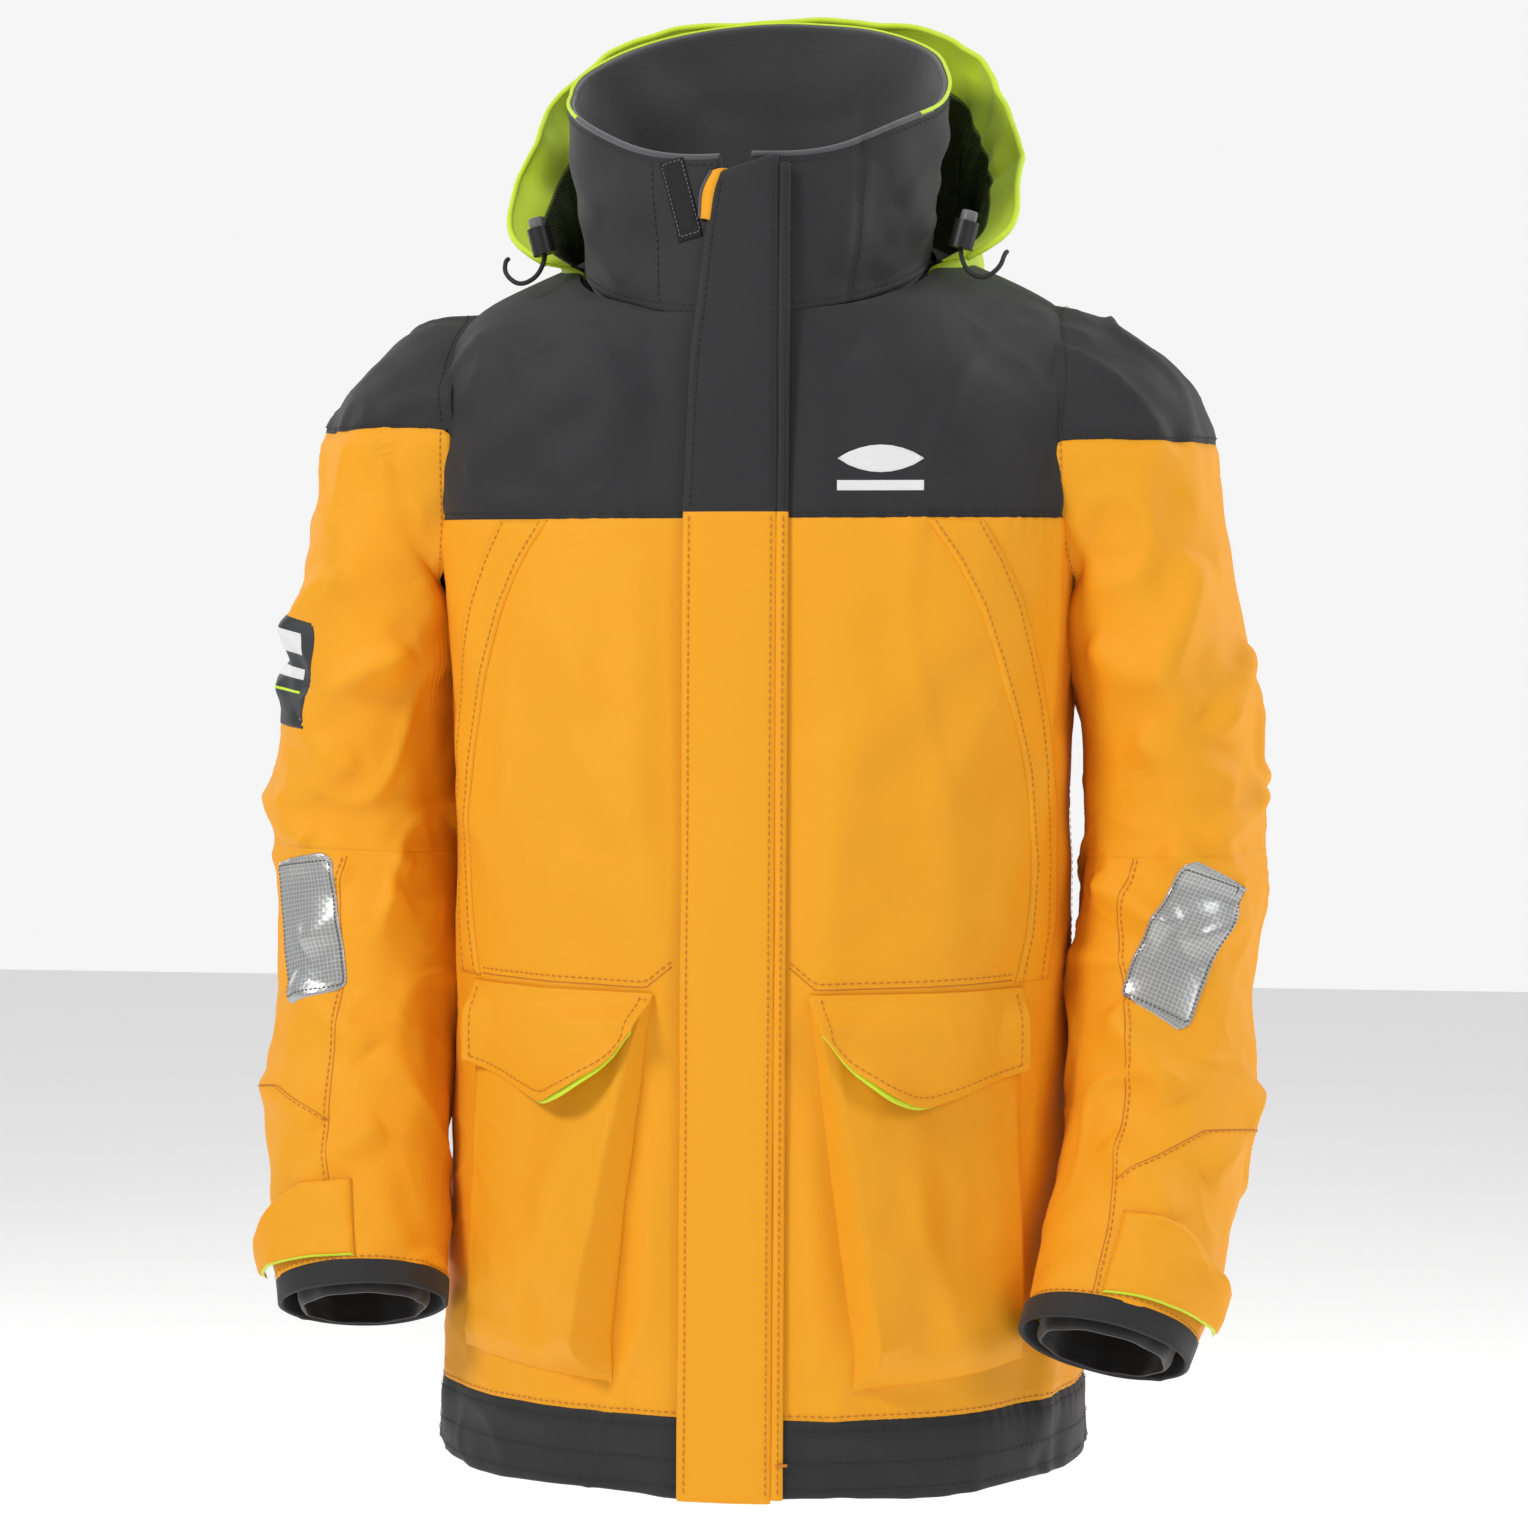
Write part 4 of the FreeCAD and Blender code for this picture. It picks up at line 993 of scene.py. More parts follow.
def pocket_grid(side):
    """The bellows pocket: rows go up from under the foot to the mouth, columns cross wall, face, wall."""
    wall, face = np.linspace(0, 1, 15), np.linspace(0, 1, 62)[1:]
    width = [0.009 * wall, 0.009 + (POCKET_WIDE - 0.013) * face, POCKET_WIDE - 0.004 + 0.006 * wall[1:]]
    down = np.concatenate([np.linspace(0, 1, 84), 1 + np.linspace(0, 1, 16)[1:]])[::-1]
    down, w = spread(down, np.concatenate(width))
    stand = spread(down[:, 0], np.concatenate([wall, 1 + 0 * face, 1 - wall[1:]]))[1]
    t, shut = np.clip(down, 0, 1), np.clip(2 - down, 0, 1)
    w = w * np.where(w < 0.0091, t * 0.9 + 0.1, 1)
    w = w + (0.003 + 0.021 * t) * (1 - w / POCKET_WIDE)
    q = np.clip(w / POCKET_WIDE, 0, 1)
    slope = 0.012 * q
    foot = FACE_FOOT_Z + slope + (FOOT_Z - FACE_FOOT_Z) * (1 - shut)
    z = np.where(down <= 1, MOUTH_Z + (FACE_FOOT_Z + slope - MOUTH_Z) * t, foot)
    spots, hit_out, outward = pocket_spots(side, w, z)
    hit_out = hit_out + 0.0006
    lift = 0.0045 * np.sin(math.pi * q) * np.sin(math.pi * np.clip(t * 0.96 + 0.02, 0, 1))
    lift += value_noise(spots + side, 0.075, 51) * 0.0018 * t + value_noise(spots, 0.03, 52) * 0.0006
    lift += 0.0035 * bell(w, 0.030 + 0.055 * t, 0.011) * t
    lift -= 0.0035 * bell(w, 0.105 - 0.040 * t, 0.013) * t
    depth = pocket_depth(w, t) + lift * stand
    out = (1 - stand) * hit_out + stand * np.maximum(depth, hit_out + 0.002)
    out = out * shut + hit_out * (1 - shut)
    out = np.where(down > 1, out + 0.004 * np.sin(math.pi * (1 - shut)) * stand, out)
    return (spots + out[..., None] * outward)[:, ::side]


# The lower edge of a pocket flap: how far it hangs at each width.
FLAP_EDGE = [
    (0.002, 0.018), (0.010, 0.030), (0.018, 0.041), (0.040, 0.056), (0.060, 0.0655), (0.070, 0.0665),
    (0.085, 0.0635), (0.110, 0.057), (0.144, 0.049),
]
FLAP_SEAM_Z = -0.5035


def flap_grid(side, off, longer=0.0, inset=0.0):
    """A pocket flap, whose lower edge curls outward near the zip."""
    w = np.linspace(0.002 + inset, 0.144 - inset, 70)
    drop = np.interp(w, *zip(*FLAP_EDGE))
    drop = np.convolve(np.pad(drop, 2, mode="edge"), np.ones(5) / 5, mode="valid")
    drop = drop + longer * bell(w, 0.040, 0.026)
    t, w = spread(np.linspace(1, 0, 40), w)
    fall = t * drop
    z = FLAP_SEAM_Z - fall
    spots, hit_out, outward = pocket_spots(side, w, z)
    q = np.clip(w / POCKET_WIDE, 0, 1)
    face = pocket_depth(w, np.clip(-(z - MOUTH_Z) / (MOUTH_Z - FACE_FOOT_Z), 0, 1))
    stand = (0.0235 + 0.10 * fall) * (1 - q) + (0.0175 + 0.06 * fall) * q
    stand = np.maximum(stand, face + 0.0105 * np.sin(math.pi * q) + 0.0035)
    stand = np.maximum(stand, hit_out + 0.003)
    stand += 0.0022 * np.sin(w * 60 + side) * (fall / 0.06)
    stand += 0.010 * bell(w, 0.038, 0.022) * ease(t, 0.55, 1.0)
    stand -= 0.003 * bell(w, 0.120, 0.03) * ease(t, 0.5, 1.0)
    over = ease(fall, 0.0, 0.020)
    out = (1 - over) * (hit_out + 0.0012) + over * stand + off
    return (spots + out[..., None] * outward)[:, ::side]


for name, side in SIDES:
    done(cloth_grid(f"pocket_cloth_{name}", pocket_grid(side), ORANGE), "jacket", f"pocket_bag_{name}")
for name, side in SIDES:
    piece = cloth_grid(f"pocket_flap_cloth_{name}", flap_grid(side, 1.6 * MM), ORANGE)
    bending(piece, name, POCKET_FOLD, f"pocket_flap_{name}")
    grid = flap_grid(side, -0.4 * MM, longer=0.0045, inset=0.0015)[:-8]
    piece = cloth_grid(f"pocket_flap_inside_{name}", grid, HI_VIS, thick=0.9 * MM)
    bending(piece, name, POCKET_FOLD, f"pocket_flap_lining_{name}")

# ---- hand-pocket overlays, emblem and hook patch ----------------------------------------------
# Height, inner and outer edge of the overlay that slants to a hand pocket.
WELT = np.array([
    (-0.5, 0.168, 0.186), (-0.470, 0.174, 0.190), (-0.428, 0.177, 0.191), (-0.370, 0.173, 0.190),
    (-0.330, 0.165, 0.186), (-0.300, 0.157, 0.181), (-0.268, 0.147, 0.174), (-0.240, 0.133, 0.163),
    (-0.2165, 0.117, 0.150),
])
WELT_INNER, WELT_OUTER = WELT[:, [1, 0]], WELT[:, [2, 0]]
for name, side in SIDES:
    flat = ruled(WELT_INNER * (side, 1), WELT_OUTER * (side, 1), 3 * MM, curve=True)
    piece = laid_patch(f"hand_pocket_cloth_{name}", flat, TORSO_TREE, ORANGE, 1.9 * MM, 1.6 * MM)
    done(piece, "jacket", f"hand_pocket_welt_{name}")


def lens_and_bar(cx, cz, wide, high):
    """Flat grids of a plain generic mark: a lens above a bar, unlike any lettering."""
    x = cx + wide * (np.linspace(0, 1, 9) - 0.5)
    bend = 0.5 * high * 0.55 * np.sin(math.pi * np.linspace(0, 1, 9)) ** 0.8
    turn, x = spread(np.linspace(-1, 1, 7), x)
    left, right = ([(cx + way * wide / 2, cz - high * share) for share in (0.5, 0.3)] for way in (-1, 1))
    return np.stack([x, cz + high * 0.14 + turn * bend], -1), ruled(left, right, 2 * MM)


lens, bar = lens_and_bar(0.089, -0.184, 0.052, 0.030)
done(laid_patch("chest_mark_lens", lens, TORSO_TREE, WHITE, 0.35 * MM, 0.25 * MM), "jacket", "chest_emblem")
done(laid_patch("chest_mark_bar", bar, TORSO_TREE, WHITE, 0.35 * MM, 0.25 * MM), "jacket")

HOOK_CORNERS = ([(-0.0345, -0.0480), (-0.0475, 0.0005)], [(-0.0200, -0.0445), (-0.0325, 0.0035)])
flat = ruled(*HOOK_CORNERS, 1.4 * MM)
piece = laid_patch("collar_hook_cloth", flat, COLLAR_TREE, HOOKS, 2.2 * MM, 1.8 * MM)
done(piece, "jacket", "collar_hook_patch")
HOOK_TREE = surface_of("collar_hook_cloth")

# ---- forearm fittings -------------------------------------------------------------------------


def sleeve_patch(name, arm, theta_of, s_of, material, off, thick=1.2 * MM, lift=None):
    """A patch on a sleeve. theta_of and s_of turn a unit square (a across, t up the arm) into places."""
    a, t = np.meshgrid(np.linspace(0, 1, 46), np.linspace(0, 1, 46))
    fade = np.minimum(np.minimum(a, 1 - a), np.minimum(t, 1 - t))
    off = off * (1 - 0.6 * np.exp(-fade * 45)) + (lift(a, t) if lift else 0)
    grid = sleeve(arm, theta_of(a, t), s_of(a, t), off, closed=False)
    return cloth_grid(name, grid, material, thick=thick), grid


def rounded(a, t, corner_a, corner_t):
    """Narrows a unit patch near its two ends so that its corners are round."""
    near = np.clip(np.minimum(t, 1 - t) / corner_t, 0, 1)
    cut = corner_a * (1 - np.sqrt(np.clip(1 - (1 - near) ** 2, 0, 1)))
    return cut + a * (1 - 2 * cut)


def rim_of(grid):
    """The values round a grid, two places in from its edge."""
    return np.concatenate([grid[2:-2, 2], grid[-3, 2:-2], grid[2:-2, -3][::-1], grid[2, 2:-2][::-1]])


def reflector(name, s_top, t_top, s_foot, t_foot, half, slant):
    """Reflective patch with round corners, from a top to a foot place, half degrees to each side."""

    def turn(a, t):
        return np.radians(t_foot + (t_top - t_foot) * t + half * (2 * rounded(a, t, 0.16, 0.09) - 1))

    def ring(a, t):
        return s_foot + (s_top - s_foot) * t + slant * (a - 0.5)

    piece, grid = sleeve_patch(f"reflector_film_{name}", name, turn, ring, FILM, 1.4 * MM, 0.9 * MM)
    bending(piece, name, ELBOW_BEND, f"reflector_{name}")
    line, facing = rim_of(grid), rim_of(grid_normals(grid, False))
    line = [(line + facing * 0.2 * MM, facing)]
    piece = stitch_line(f"reflector_stitch_{name}", line, GREY_THREAD, 2.2 * MM, 0.7 * MM)
    bending(piece, name, ELBOW_BEND, slot="reflective")


def inner_cuff(name, side):
    """Stretch inner cuff, gathered into soft ribs."""
    t = np.linspace(0, 1, 34)[:, None]
    share = 0.74 + 0.20 * t**0.7 + 0.016 * np.sin(9 * RING + 2 * t) * (1 - t)
    share = share + 0.012 * np.sin(t * 26) * (1 - t)
    grid = sleeve_smooth(name, RING, WRIST - 0.80 * t, share, 0.0035 * (1 - t))[:, ::side]
    piece = cloth_grid(f"inner_cuff_cloth_{name}", grid, NEOPRENE, closed=True)
    done(piece, f"forearm_{name}", f"inner_cuff_{name}")


# Cuff tab: sewn at its inner end, standing off at its free end, lined hi-vis.
def tab_theta(a, t):
    return np.radians(-100 + (96 - 6 * t) * a)


def tab_s(a, t):
    foot = 8.77 - 0.06 * a
    return foot + (8.10 + 0.30 * ease(a, 0.35, 0.95) - foot) * t


def tab_lift(a, t):
    return 0.0075 * ease(a, 0.25, 1.0) + 0.0012 * np.sin(5 * a + 3 * t) * ease(a, 0.1, 0.3)


def lining_theta(a, t):
    return tab_theta(a * 1.012, t)


def lining_s(a, t):
    return tab_s(a, t) + 0.012


REFLECTORS = {"left": (5.15, -62, 6.45, -94, 21, 0.24), "right": (5.08, -60, 6.38, -70, 23, 0.10)}
for name, side in SIDES:
    reflector(name, *REFLECTORS[name])
    s = np.linspace(WRIST, CUFF_EDGE - 0.012, 9)[:, None]
    grid = sleeve(name, RING, s, 1.3 * MM, calm=0.25)
    piece = cloth_grid(f"cuff_binding_cloth_{name}", grid, CHARCOAL, closed=True, thick=3.2 * MM)
    done(piece, f"forearm_{name}", f"cuff_binding_{name}")
    inner_cuff(name, side)
    tab, inside = f"cuff_tab_{name}", f"cuff_tab_inside_{name}"
    piece, _ = sleeve_patch(
        f"cuff_tab_cloth_{name}", name, tab_theta, tab_s, ORANGE, 4.2 * MM, 1.5 * MM, tab_lift
    )
    done(piece, tab, tab)
    piece, _ = sleeve_patch(inside, name, lining_theta, lining_s, HI_VIS, 2.6 * MM, 0.8 * MM, tab_lift)
    done(piece, tab)


def badge_patch(name, a0, a1, t0, t1, material, off, *nodes):
    """A part of the badge on the wearer's right upper sleeve, as shares of its width and height."""

    def turn(a, t):
        return np.radians(-62 + 46 * (a0 + (a1 - a0) * a))

    def ring(a, t):
        return 4.05 - 0.72 * (t0 + (t1 - t0) * t)

    piece, _ = sleeve_patch(name, "right", turn, ring, material, off * MM, 0.5 * MM)
    done(piece, "upper_sleeve_right", *nodes)


badge_patch("badge_ground", 0, 1, 0, 1, BADGE, 0.7, "sleeve_badge")
badge_patch("badge_bar_low", 0.16, 0.84, 0.46, 0.56, WHITE, 1.1)
badge_patch("badge_bar_high", 0.16, 0.84, 0.68, 0.88, WHITE, 1.1)
badge_patch("badge_line", 0.14, 0.86, 0.33, 0.355, HI_VIS, 1.1)

# ---- hood -------------------------------------------------------------------------------------
HOOD_HALF, HOOD_REACH, HOOD_POWER = 0.165, 0.262, 3.4
HOOD_FLARE = np.array([(-20, 0.88), (0, 0.82), (20, 0.81), (38, 0.87), (48, 1.0), (50, 1.02)])
HOOD_Y, HOOD_Z = -0.126, -0.072
HOOD_COLS = 230


def hood_joined(obj, *nodes):
    """A hood piece sewn to the jacket along its lower edge: hides its replaced nodes and bakes its place into
    its points.
    """
    done(obj, None, *nodes)
    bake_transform(obj)


def hood_place(beta, t):
    """beta sweeps from the back upward in degrees, t runs from the wearer's left to right in radians."""
    reach = HOOD_REACH * np.abs(np.sin(t)) ** (2 / HOOD_POWER)
    flare = smooth_rows(HOOD_FLARE, np.ravel(beta))[:, 0].reshape(np.shape(beta))
    across = HOOD_HALF * rounded_square(np.cos(t), 2 / HOOD_POWER) * flare
    across = across * (1 - 0.33 * bell(reach, 0, 0.035))
    turn = np.radians(beta)
    return np.stack([across, HOOD_Y + reach * np.cos(turn), HOOD_Z + reach * np.sin(turn)], -1)


# Hood folds: the two sweeps in degrees of each end.
HOOD_FOLDS = [
    (42, 20, 5, 35, 14, 4.5, 0.3), (30, 8, -5, 20, 12, 4, 0.3), (44, 50, 0, 60, 18, 4, 0.2),
    (40, 88, -10, 95, 22, 4.5, 0.1), (44, 128, 0, 120, 18, 4, 0.2), (42, 160, 5, 145, 14, 4.5, 0.3),
    (28, 172, -5, 160, 12, 4, 0.3), (10, 55, 4, 130, 20, 6, 0.2), (-6, 45, -10, 140, 18, 6, 0.3),
]
HOOD_FOLDS = folds(HOOD_FOLDS, lambda beta, t: hood_place(float(beta), math.radians(t)))


def hood(beta, t, off=0.0):
    """Points and outward normals of the folded hood, for a column of beta and a row of t."""
    beta, t = spread(beta, t)
    p = hood_place(beta, t)
    normals = grid_normals(p, False)
    normals = normals * np.sign((normals * (p - np.array([0, HOOD_Y, HOOD_Z]))).sum())
    lift = value_noise(p, 0.075, 61) * 0.0028 + value_noise(p, 0.03, 62) * 0.0008
    lift += fold_heights(p, HOOD_FOLDS) * 1.4 + crumple(p, 0.11, 64) * 0.0032
    return p + normals * (lift * ease(np.sin(t), 0.0, 0.35) + off)[..., None], normals


def trim(obj, margin=0.0035):
    """Takes away the faces that are wholly inside the torso or the collar."""
    co = np.array([v.co for v in obj.data.vertices])
    inside = inside_torso(co[None], margin)[0] > 0
    x, y, z = co.T / MM
    low, high = COLLAR
    base = z
    for _ in range(4):
        share = np.clip((base - low[0]) / (high[0] - low[0]), 0, 1)
        _, a, b, mid, tilt = low[:, None] + (high - low)[:, None] * share
        level = base
        base = z - (y - mid) * np.tan(np.radians(tilt))
    inside |= ((x / (a - 4)) ** 2 + ((y - mid) / (b - 4)) ** 2 < 1) & (level > low[0] - 2) & (level < high[0])
    work = bmesh.new()
    work.from_mesh(obj.data)
    dead = [face for face in work.faces if all(inside[v.index] for v in face.verts)]
    bmesh.ops.delete(work, geom=dead, context="FACES")
    work.to_mesh(obj.data)
    work.free()
    return obj


HOOD_T = np.linspace(0.02, math.pi - 0.02, HOOD_COLS)
for name, low, high, off, thick, rows, material, node in (
    ("hood_cloth", -20, 48, 0.0, 1.4, 84, HI_VIS, "hood_shell"),
    ("hood_net", -20, 40, -3.0, 0.6, 74, MESH, "hood_mesh_lining"),
    ("hood_brim_cloth", 39.4, 48.3, -1.8, 1.6, 14, HI_VIS, "hood_brim"),
):
    grid, normals = hood(np.linspace(low, high, rows), HOOD_T, off * MM)
    hood_joined(trim(cloth_grid(name, grid, material, thick=thick * MM, normals=normals)), node)
edge, _ = hood((47.8, 48.2), HOOD_T, -1.4 * MM)
done(trim(tube_mesh("hood_edge", edge[-1], 2.3 * MM, HI_VIS)), "hood")

# ---- seams and stitching ----------------------------------------------------------------------


def laid_line(flat, tree=None, step=2.5 * MM):
    """A line of flat points laid on the front of cloth, as points and normals."""
    flat = even(flat, max(2, int(run_along(flat)[-1] / step) + 1))
    points, normals = shoot(tree or TORSO_TREE, from_front(flat), FORWARD)
    return points + normals * THREAD_LIFT, normals


def middle_row(grid):
    """Points and normals of the middle one of three rows."""
    return grid[1], grid_normals(grid, False)[1]


def middle_column(grid):
    """Points and normals of the middle one of three columns."""
    return grid[:, 1], grid_normals(grid, False)[:, 1]


def ring_line(z, off=THREAD_LIFT):
    """A row of places round the torso at a height, from one front edge round to the other."""
    lean = float(gap_angle(z, 9.0)[0])
    phi = FRONT + np.linspace(lean, 2 * math.pi - lean, 360)
    h, phi = spread(z + np.linspace(-0.001, 0.001, 3), phi)
    return middle_row(torso(phi, h, off))


def stitched(name, thread, body, *lines):
    """Rows of stitches that ride on a body."""
    return done(stitch_line(name, lines, thread), body)


def seam_shade_tube(name, line, thread, radius=0.35 * MM):
    """A thread-coloured tube sunk into the cloth along a sewn seam: painted shade that darkens the seam in
    place of its shadow.
    """
    points, normals = line
    points = spaced(points - normals * 0.35 * MM, 4 * MM)
    done(tube_mesh(name, points, radius, thread, 6), "jacket")


stitched("yoke_stitch", CHARCOAL_THREAD, "jacket", ring_line(YOKE_Z + 0.0042))
# Painted shade: a dark tube sunk along the yoke seam stands in for the seam's shadow.
seam_shade_tube("yoke_groove", ring_line(YOKE_Z), CHARCOAL_THREAD)
hem_lines = [ring_line(z, 1.4 * MM) for z in (HEM_TOP - 0.0035, -0.786, HEM_Z + 0.005)]
stitched("hem_stitch", CHARCOAL_THREAD, "jacket", *hem_lines)
stitched("hem_stitch_orange", ORANGE_THREAD, "jacket", ring_line(HEM_TOP + 0.0050))

POCKET_SEAM = np.array([(0.166, -0.4985), (0.110, -0.4992), (0.052, -0.5000), (0.036, -0.4870)])
lines, seams = [], []
for name, side in SIDES:
    welt = surface_of(f"hand_pocket_cloth_{name}", f"front_{name}")
    lines.append(laid_line((WELT_INNER + (0.0045, 0)) * (side, 1), welt))
    lines.append(laid_line((WELT_OUTER - (0.0030, 0)) * (side, 1), welt))
    seam = POCKET_SEAM * (side, 1)
    lines.append(laid_line(seam + (0, 0.0035)))
    seams.append(laid_line(seam))
    # Along the side seam.
    phi = np.array([-0.022, -0.020, -0.018]) * side + (0 if side > 0 else math.pi)
    h, phi = spread(np.linspace(HEM_TOP + 0.008, -0.33, 60), phi)
    points, normals = middle_column(torso(phi, h, THREAD_LIFT))
    lines.append((points, normals * np.sign((normals[:, 0] * side).sum())))
stitched("front_stitches", ORANGE_THREAD, "jacket", *lines)
# Painted shade: darker orange tubes sunk along the pocket seams stand in for their shadow.
for index, line in enumerate(seams):
    seam_shade_tube(f"pocket_seam_{index}", line, ORANGE_THREAD, 0.45 * MM)


def sloping_line(tree, x, low, high, count=120):
    """A line up the storm flap or its seam; x may be a table of heights and places."""
    up = np.linspace(low, high, count)
    starts = flap_place(np.interp(up, *x) if np.ndim(x) else np.full(count, x), up, 0.1)
    points, normals = shoot(tree, starts, (0, math.cos(LEAN), -math.sin(LEAN)), 0.3)
    return points + normals * THREAD_LIFT, normals


lower, low = (0.002, YOKE_UP - 0.002), YOKE_UP + 0.003
flap_edge = ([YOKE_UP, LENGTH - 0.12, LENGTH - 0.04, LENGTH - 0.008], [-0.0258, -0.0218, -0.0128, -0.0070])
lines = [sloping_line(FLAP_TREE, x, *lower) for x in (-0.0262, 0.0236)]
stitched("flap_stitch_orange", ORANGE_THREAD, "storm_flap", *lines)
lines = [sloping_line(FLAP_TREE, 0.0236, low, LENGTH - 0.004)]
lines.append(sloping_line(FLAP_TREE, flap_edge, low, LENGTH - 0.012, 100))
stitched("flap_stitch_charcoal", CHARCOAL_THREAD, "storm_flap", *lines)
strip_tree = surface_of("flap_seam_orange", "flap_seam_charcoal")
line = sloping_line(strip_tree, 0.0310, 0.003, YOKE_UP - 0.002)
stitched("seam_stitch_orange", ORANGE_THREAD, "jacket", line)
line = sloping_line(strip_tree, 0.0310, low, LENGTH - 0.006)
stitched("seam_stitch_charcoal", CHARCOAL_THREAD, "jacket", line)
tack = sloping_line(strip_tree, 0.0318, 0.0208, 0.0214)[0][:3]
tack = spaced(tack + np.array([(-0.002, 0, 0), (0.0015, 0, 0.0002), (0.005, 0, 0.0004)]), 0.6 * MM)
done(tube_mesh("hem_bartack", tack, 0.9 * MM, ORANGE_THREAD), "jacket")

for name, side in SIDES:
    grid = flap_grid(side, 1.9 * MM)[:, ::side]
    normal = grid_normals(grid, False) * side
    rim = [(values[2:-2, 3], values[3, 3:-3], values[2:-2, -4]) for values in (grid, normal)]
    piece = stitch_line(f"pocket_flap_stitch_{name}", list(zip(*rim)), ORANGE_THREAD)
    bending(piece, name, POCKET_FOLD)

lines = []
for angle in COLLAR_SEAMS:
    v, phi = spread(np.linspace(0.02, 0.93, 40), np.radians(angle + np.array([1.2, 2.0, 2.8])))
    lines.append(middle_column(collar(phi, v, THREAD_LIFT)))
for level in (0.035, 0.95):
    lines.append(middle_row(collar_grid(level - 0.01, level + 0.01, THREAD_LIFT, collar_turns(12.0 * MM), 3)))
stitched("collar_stitch", CHARCOAL_THREAD, "jacket", *lines)
hook_rim = [(-0.0335, -0.0450), (-0.0458, -0.0010), (-0.0336, 0.0018), (-0.0212, -0.0420), (-0.0335, -0.0450)]
piece = stitch_line("hook_stitch", [laid_line(hook_rim, HOOK_TREE)], GREY_THREAD, 2.0 * MM, 0.8 * MM)
done(piece, "jacket")


def sleeve_line(name, theta_s, off=0.4 * MM):
    """A line on a sleeve through (angle in degrees, ring number) pairs."""
    knots = np.array(theta_s, float)
    run = np.linspace(0, len(knots) - 1, 90)
    theta, s = (np.interp(run, np.arange(len(knots)), values) for values in knots.T)
    middle = sleeve_smooth(name, np.radians(theta), s)
    turned = sleeve_smooth(name, np.radians(theta + 0.5), s)
    lower = sleeve_smooth(name, np.radians(theta), s + 0.01)
    normals = unit(np.cross(turned - middle, middle - lower)) * SIDE[name]
    lift = sleeve_lift(name, middle) * sleeve_calm(s) + off
    return middle + normals * lift[:, None], normals


# Forearm seams: places (angle in degrees, ring number) along each.
SEAM_LINES = {
    "left": [
        [(-112, 5.0), (-118, 5.6), (-108, 6.6), (-112, 7.6), (-106, 8.8)],
        [(-108, 7.85), (-60, 7.35), (-18, 7.2)],
        [(70, 5.2), (64, 6.6), (60, 8.8)],
    ],
    "right": [
        [(-92, 5.05), (-88, 5.30), (-90, 6.2), (-86, 7.4), (-84, 8.8)],
        [(-86, 7.55), (-50, 7.15), (-16, 7.05)],
        [(70, 5.2), (64, 6.6), (60, 8.8)],
    ],
}
for name, side in SIDES:
    for index, line in enumerate(SEAM_LINES[name]):
        # Painted shade: a darker orange tube sunk along each forearm seam stands in for its shadow.
        points, normals = sleeve_line(name, line)
        points = spaced(points - normals * 0.5 * MM, 4 * MM)
        piece = tube_mesh(f"forearm_seam_{name}_{index}", points, 0.45 * MM, ORANGE_THREAD, 6)
        bending(piece, name, ELBOW_BEND)
    lines = [[(turn + 2.6, ring) for turn, ring in line] for line in SEAM_LINES[name]]
    lines.append([(turn, CUFF_EDGE - 0.045) for turn in range(-180, 181, 30)])
    lines = [sleeve_line(name, line) for line in lines]
    bending(stitch_line(f"forearm_stitch_{name}", lines, ORANGE_THREAD), name, ELBOW_BEND)

    start, split = armhole(name)
    tall = np.where(split > start + 0.05)[0]
    short = (tall[-1] + 1 + np.arange(SLEEVE_COLS - len(tall))) % SLEEVE_COLS
    degrees = np.degrees(RING)
    lines = [zip(degrees[tall], split[tall] - 0.035), zip(degrees[tall], start[tall] + 0.050)]
    lines = [sleeve_line(name, list(line)) for line in lines]
    bending(stitch_line(f"sleeve_cap_stitch_{name}", lines, CHARCOAL_THREAD), name, SHOULDER)
    line = sleeve_line(name, list(zip(np.degrees(np.unwrap(RING[short])), start[short] + 0.050)))
    bending(stitch_line(f"armhole_stitch_{name}", [line], ORANGE_THREAD), name, SHOULDER)

lines = []
for beta in (41.5, 45.5):
    rows = hood((beta - 0.4, beta, beta + 0.4), np.linspace(0.16, math.pi - 0.16, 200), 0.4 * MM)
    lines.append([values[1] for values in rows])
for angle in (58, 122):
    rows = hood(np.linspace(-12, 40, 90), np.radians((angle - 1.0, angle, angle + 1.0)), 0.4 * MM)
    lines.append([values[:, 1] for values in rows])
hood_joined(stitch_line("hood_stitch", lines, YELLOW_THREAD))

# ---- zip, hang loop and hood cords ------------------------------------------------------------


def repaint(material, *names):
    """Better materials for CAD pieces whose shape is already right."""
    for name in names:
        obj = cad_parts[name]
        if not obj.material_slots:
            obj.data.materials.append(material)
        for slot in obj.material_slots:
            slot.link = "OBJECT"
            slot.material = material


repaint(PLASTIC_GREY, "zip_teeth_left", "zip_teeth_right", "zip_box")
repaint(METAL, "zip_slider", "zip_pull")
repaint(PLASTIC, "cord_lock_left", "cord_lock_right")
repaint(PLASTIC_GREY, "lock_button_left", "lock_button_right")


def front_strip(name, x0, x1, low, high, depth, material, seed=43, thick=0.9 * MM):
    """A flat strip set into the front, depth behind the front line."""
    flat = ruled([(x0, low), (x0, high)], [(x1, low), (x1, high)], 4 * MM)
    x, up = flat[..., 0], flat[..., 1]
    ripple = value_noise(flap_place(x, up, 0 * x), 0.05, seed) * 0.4 * MM
    return cloth_grid(name, flap_place(x, up, ripple - depth), material, thick=thick)


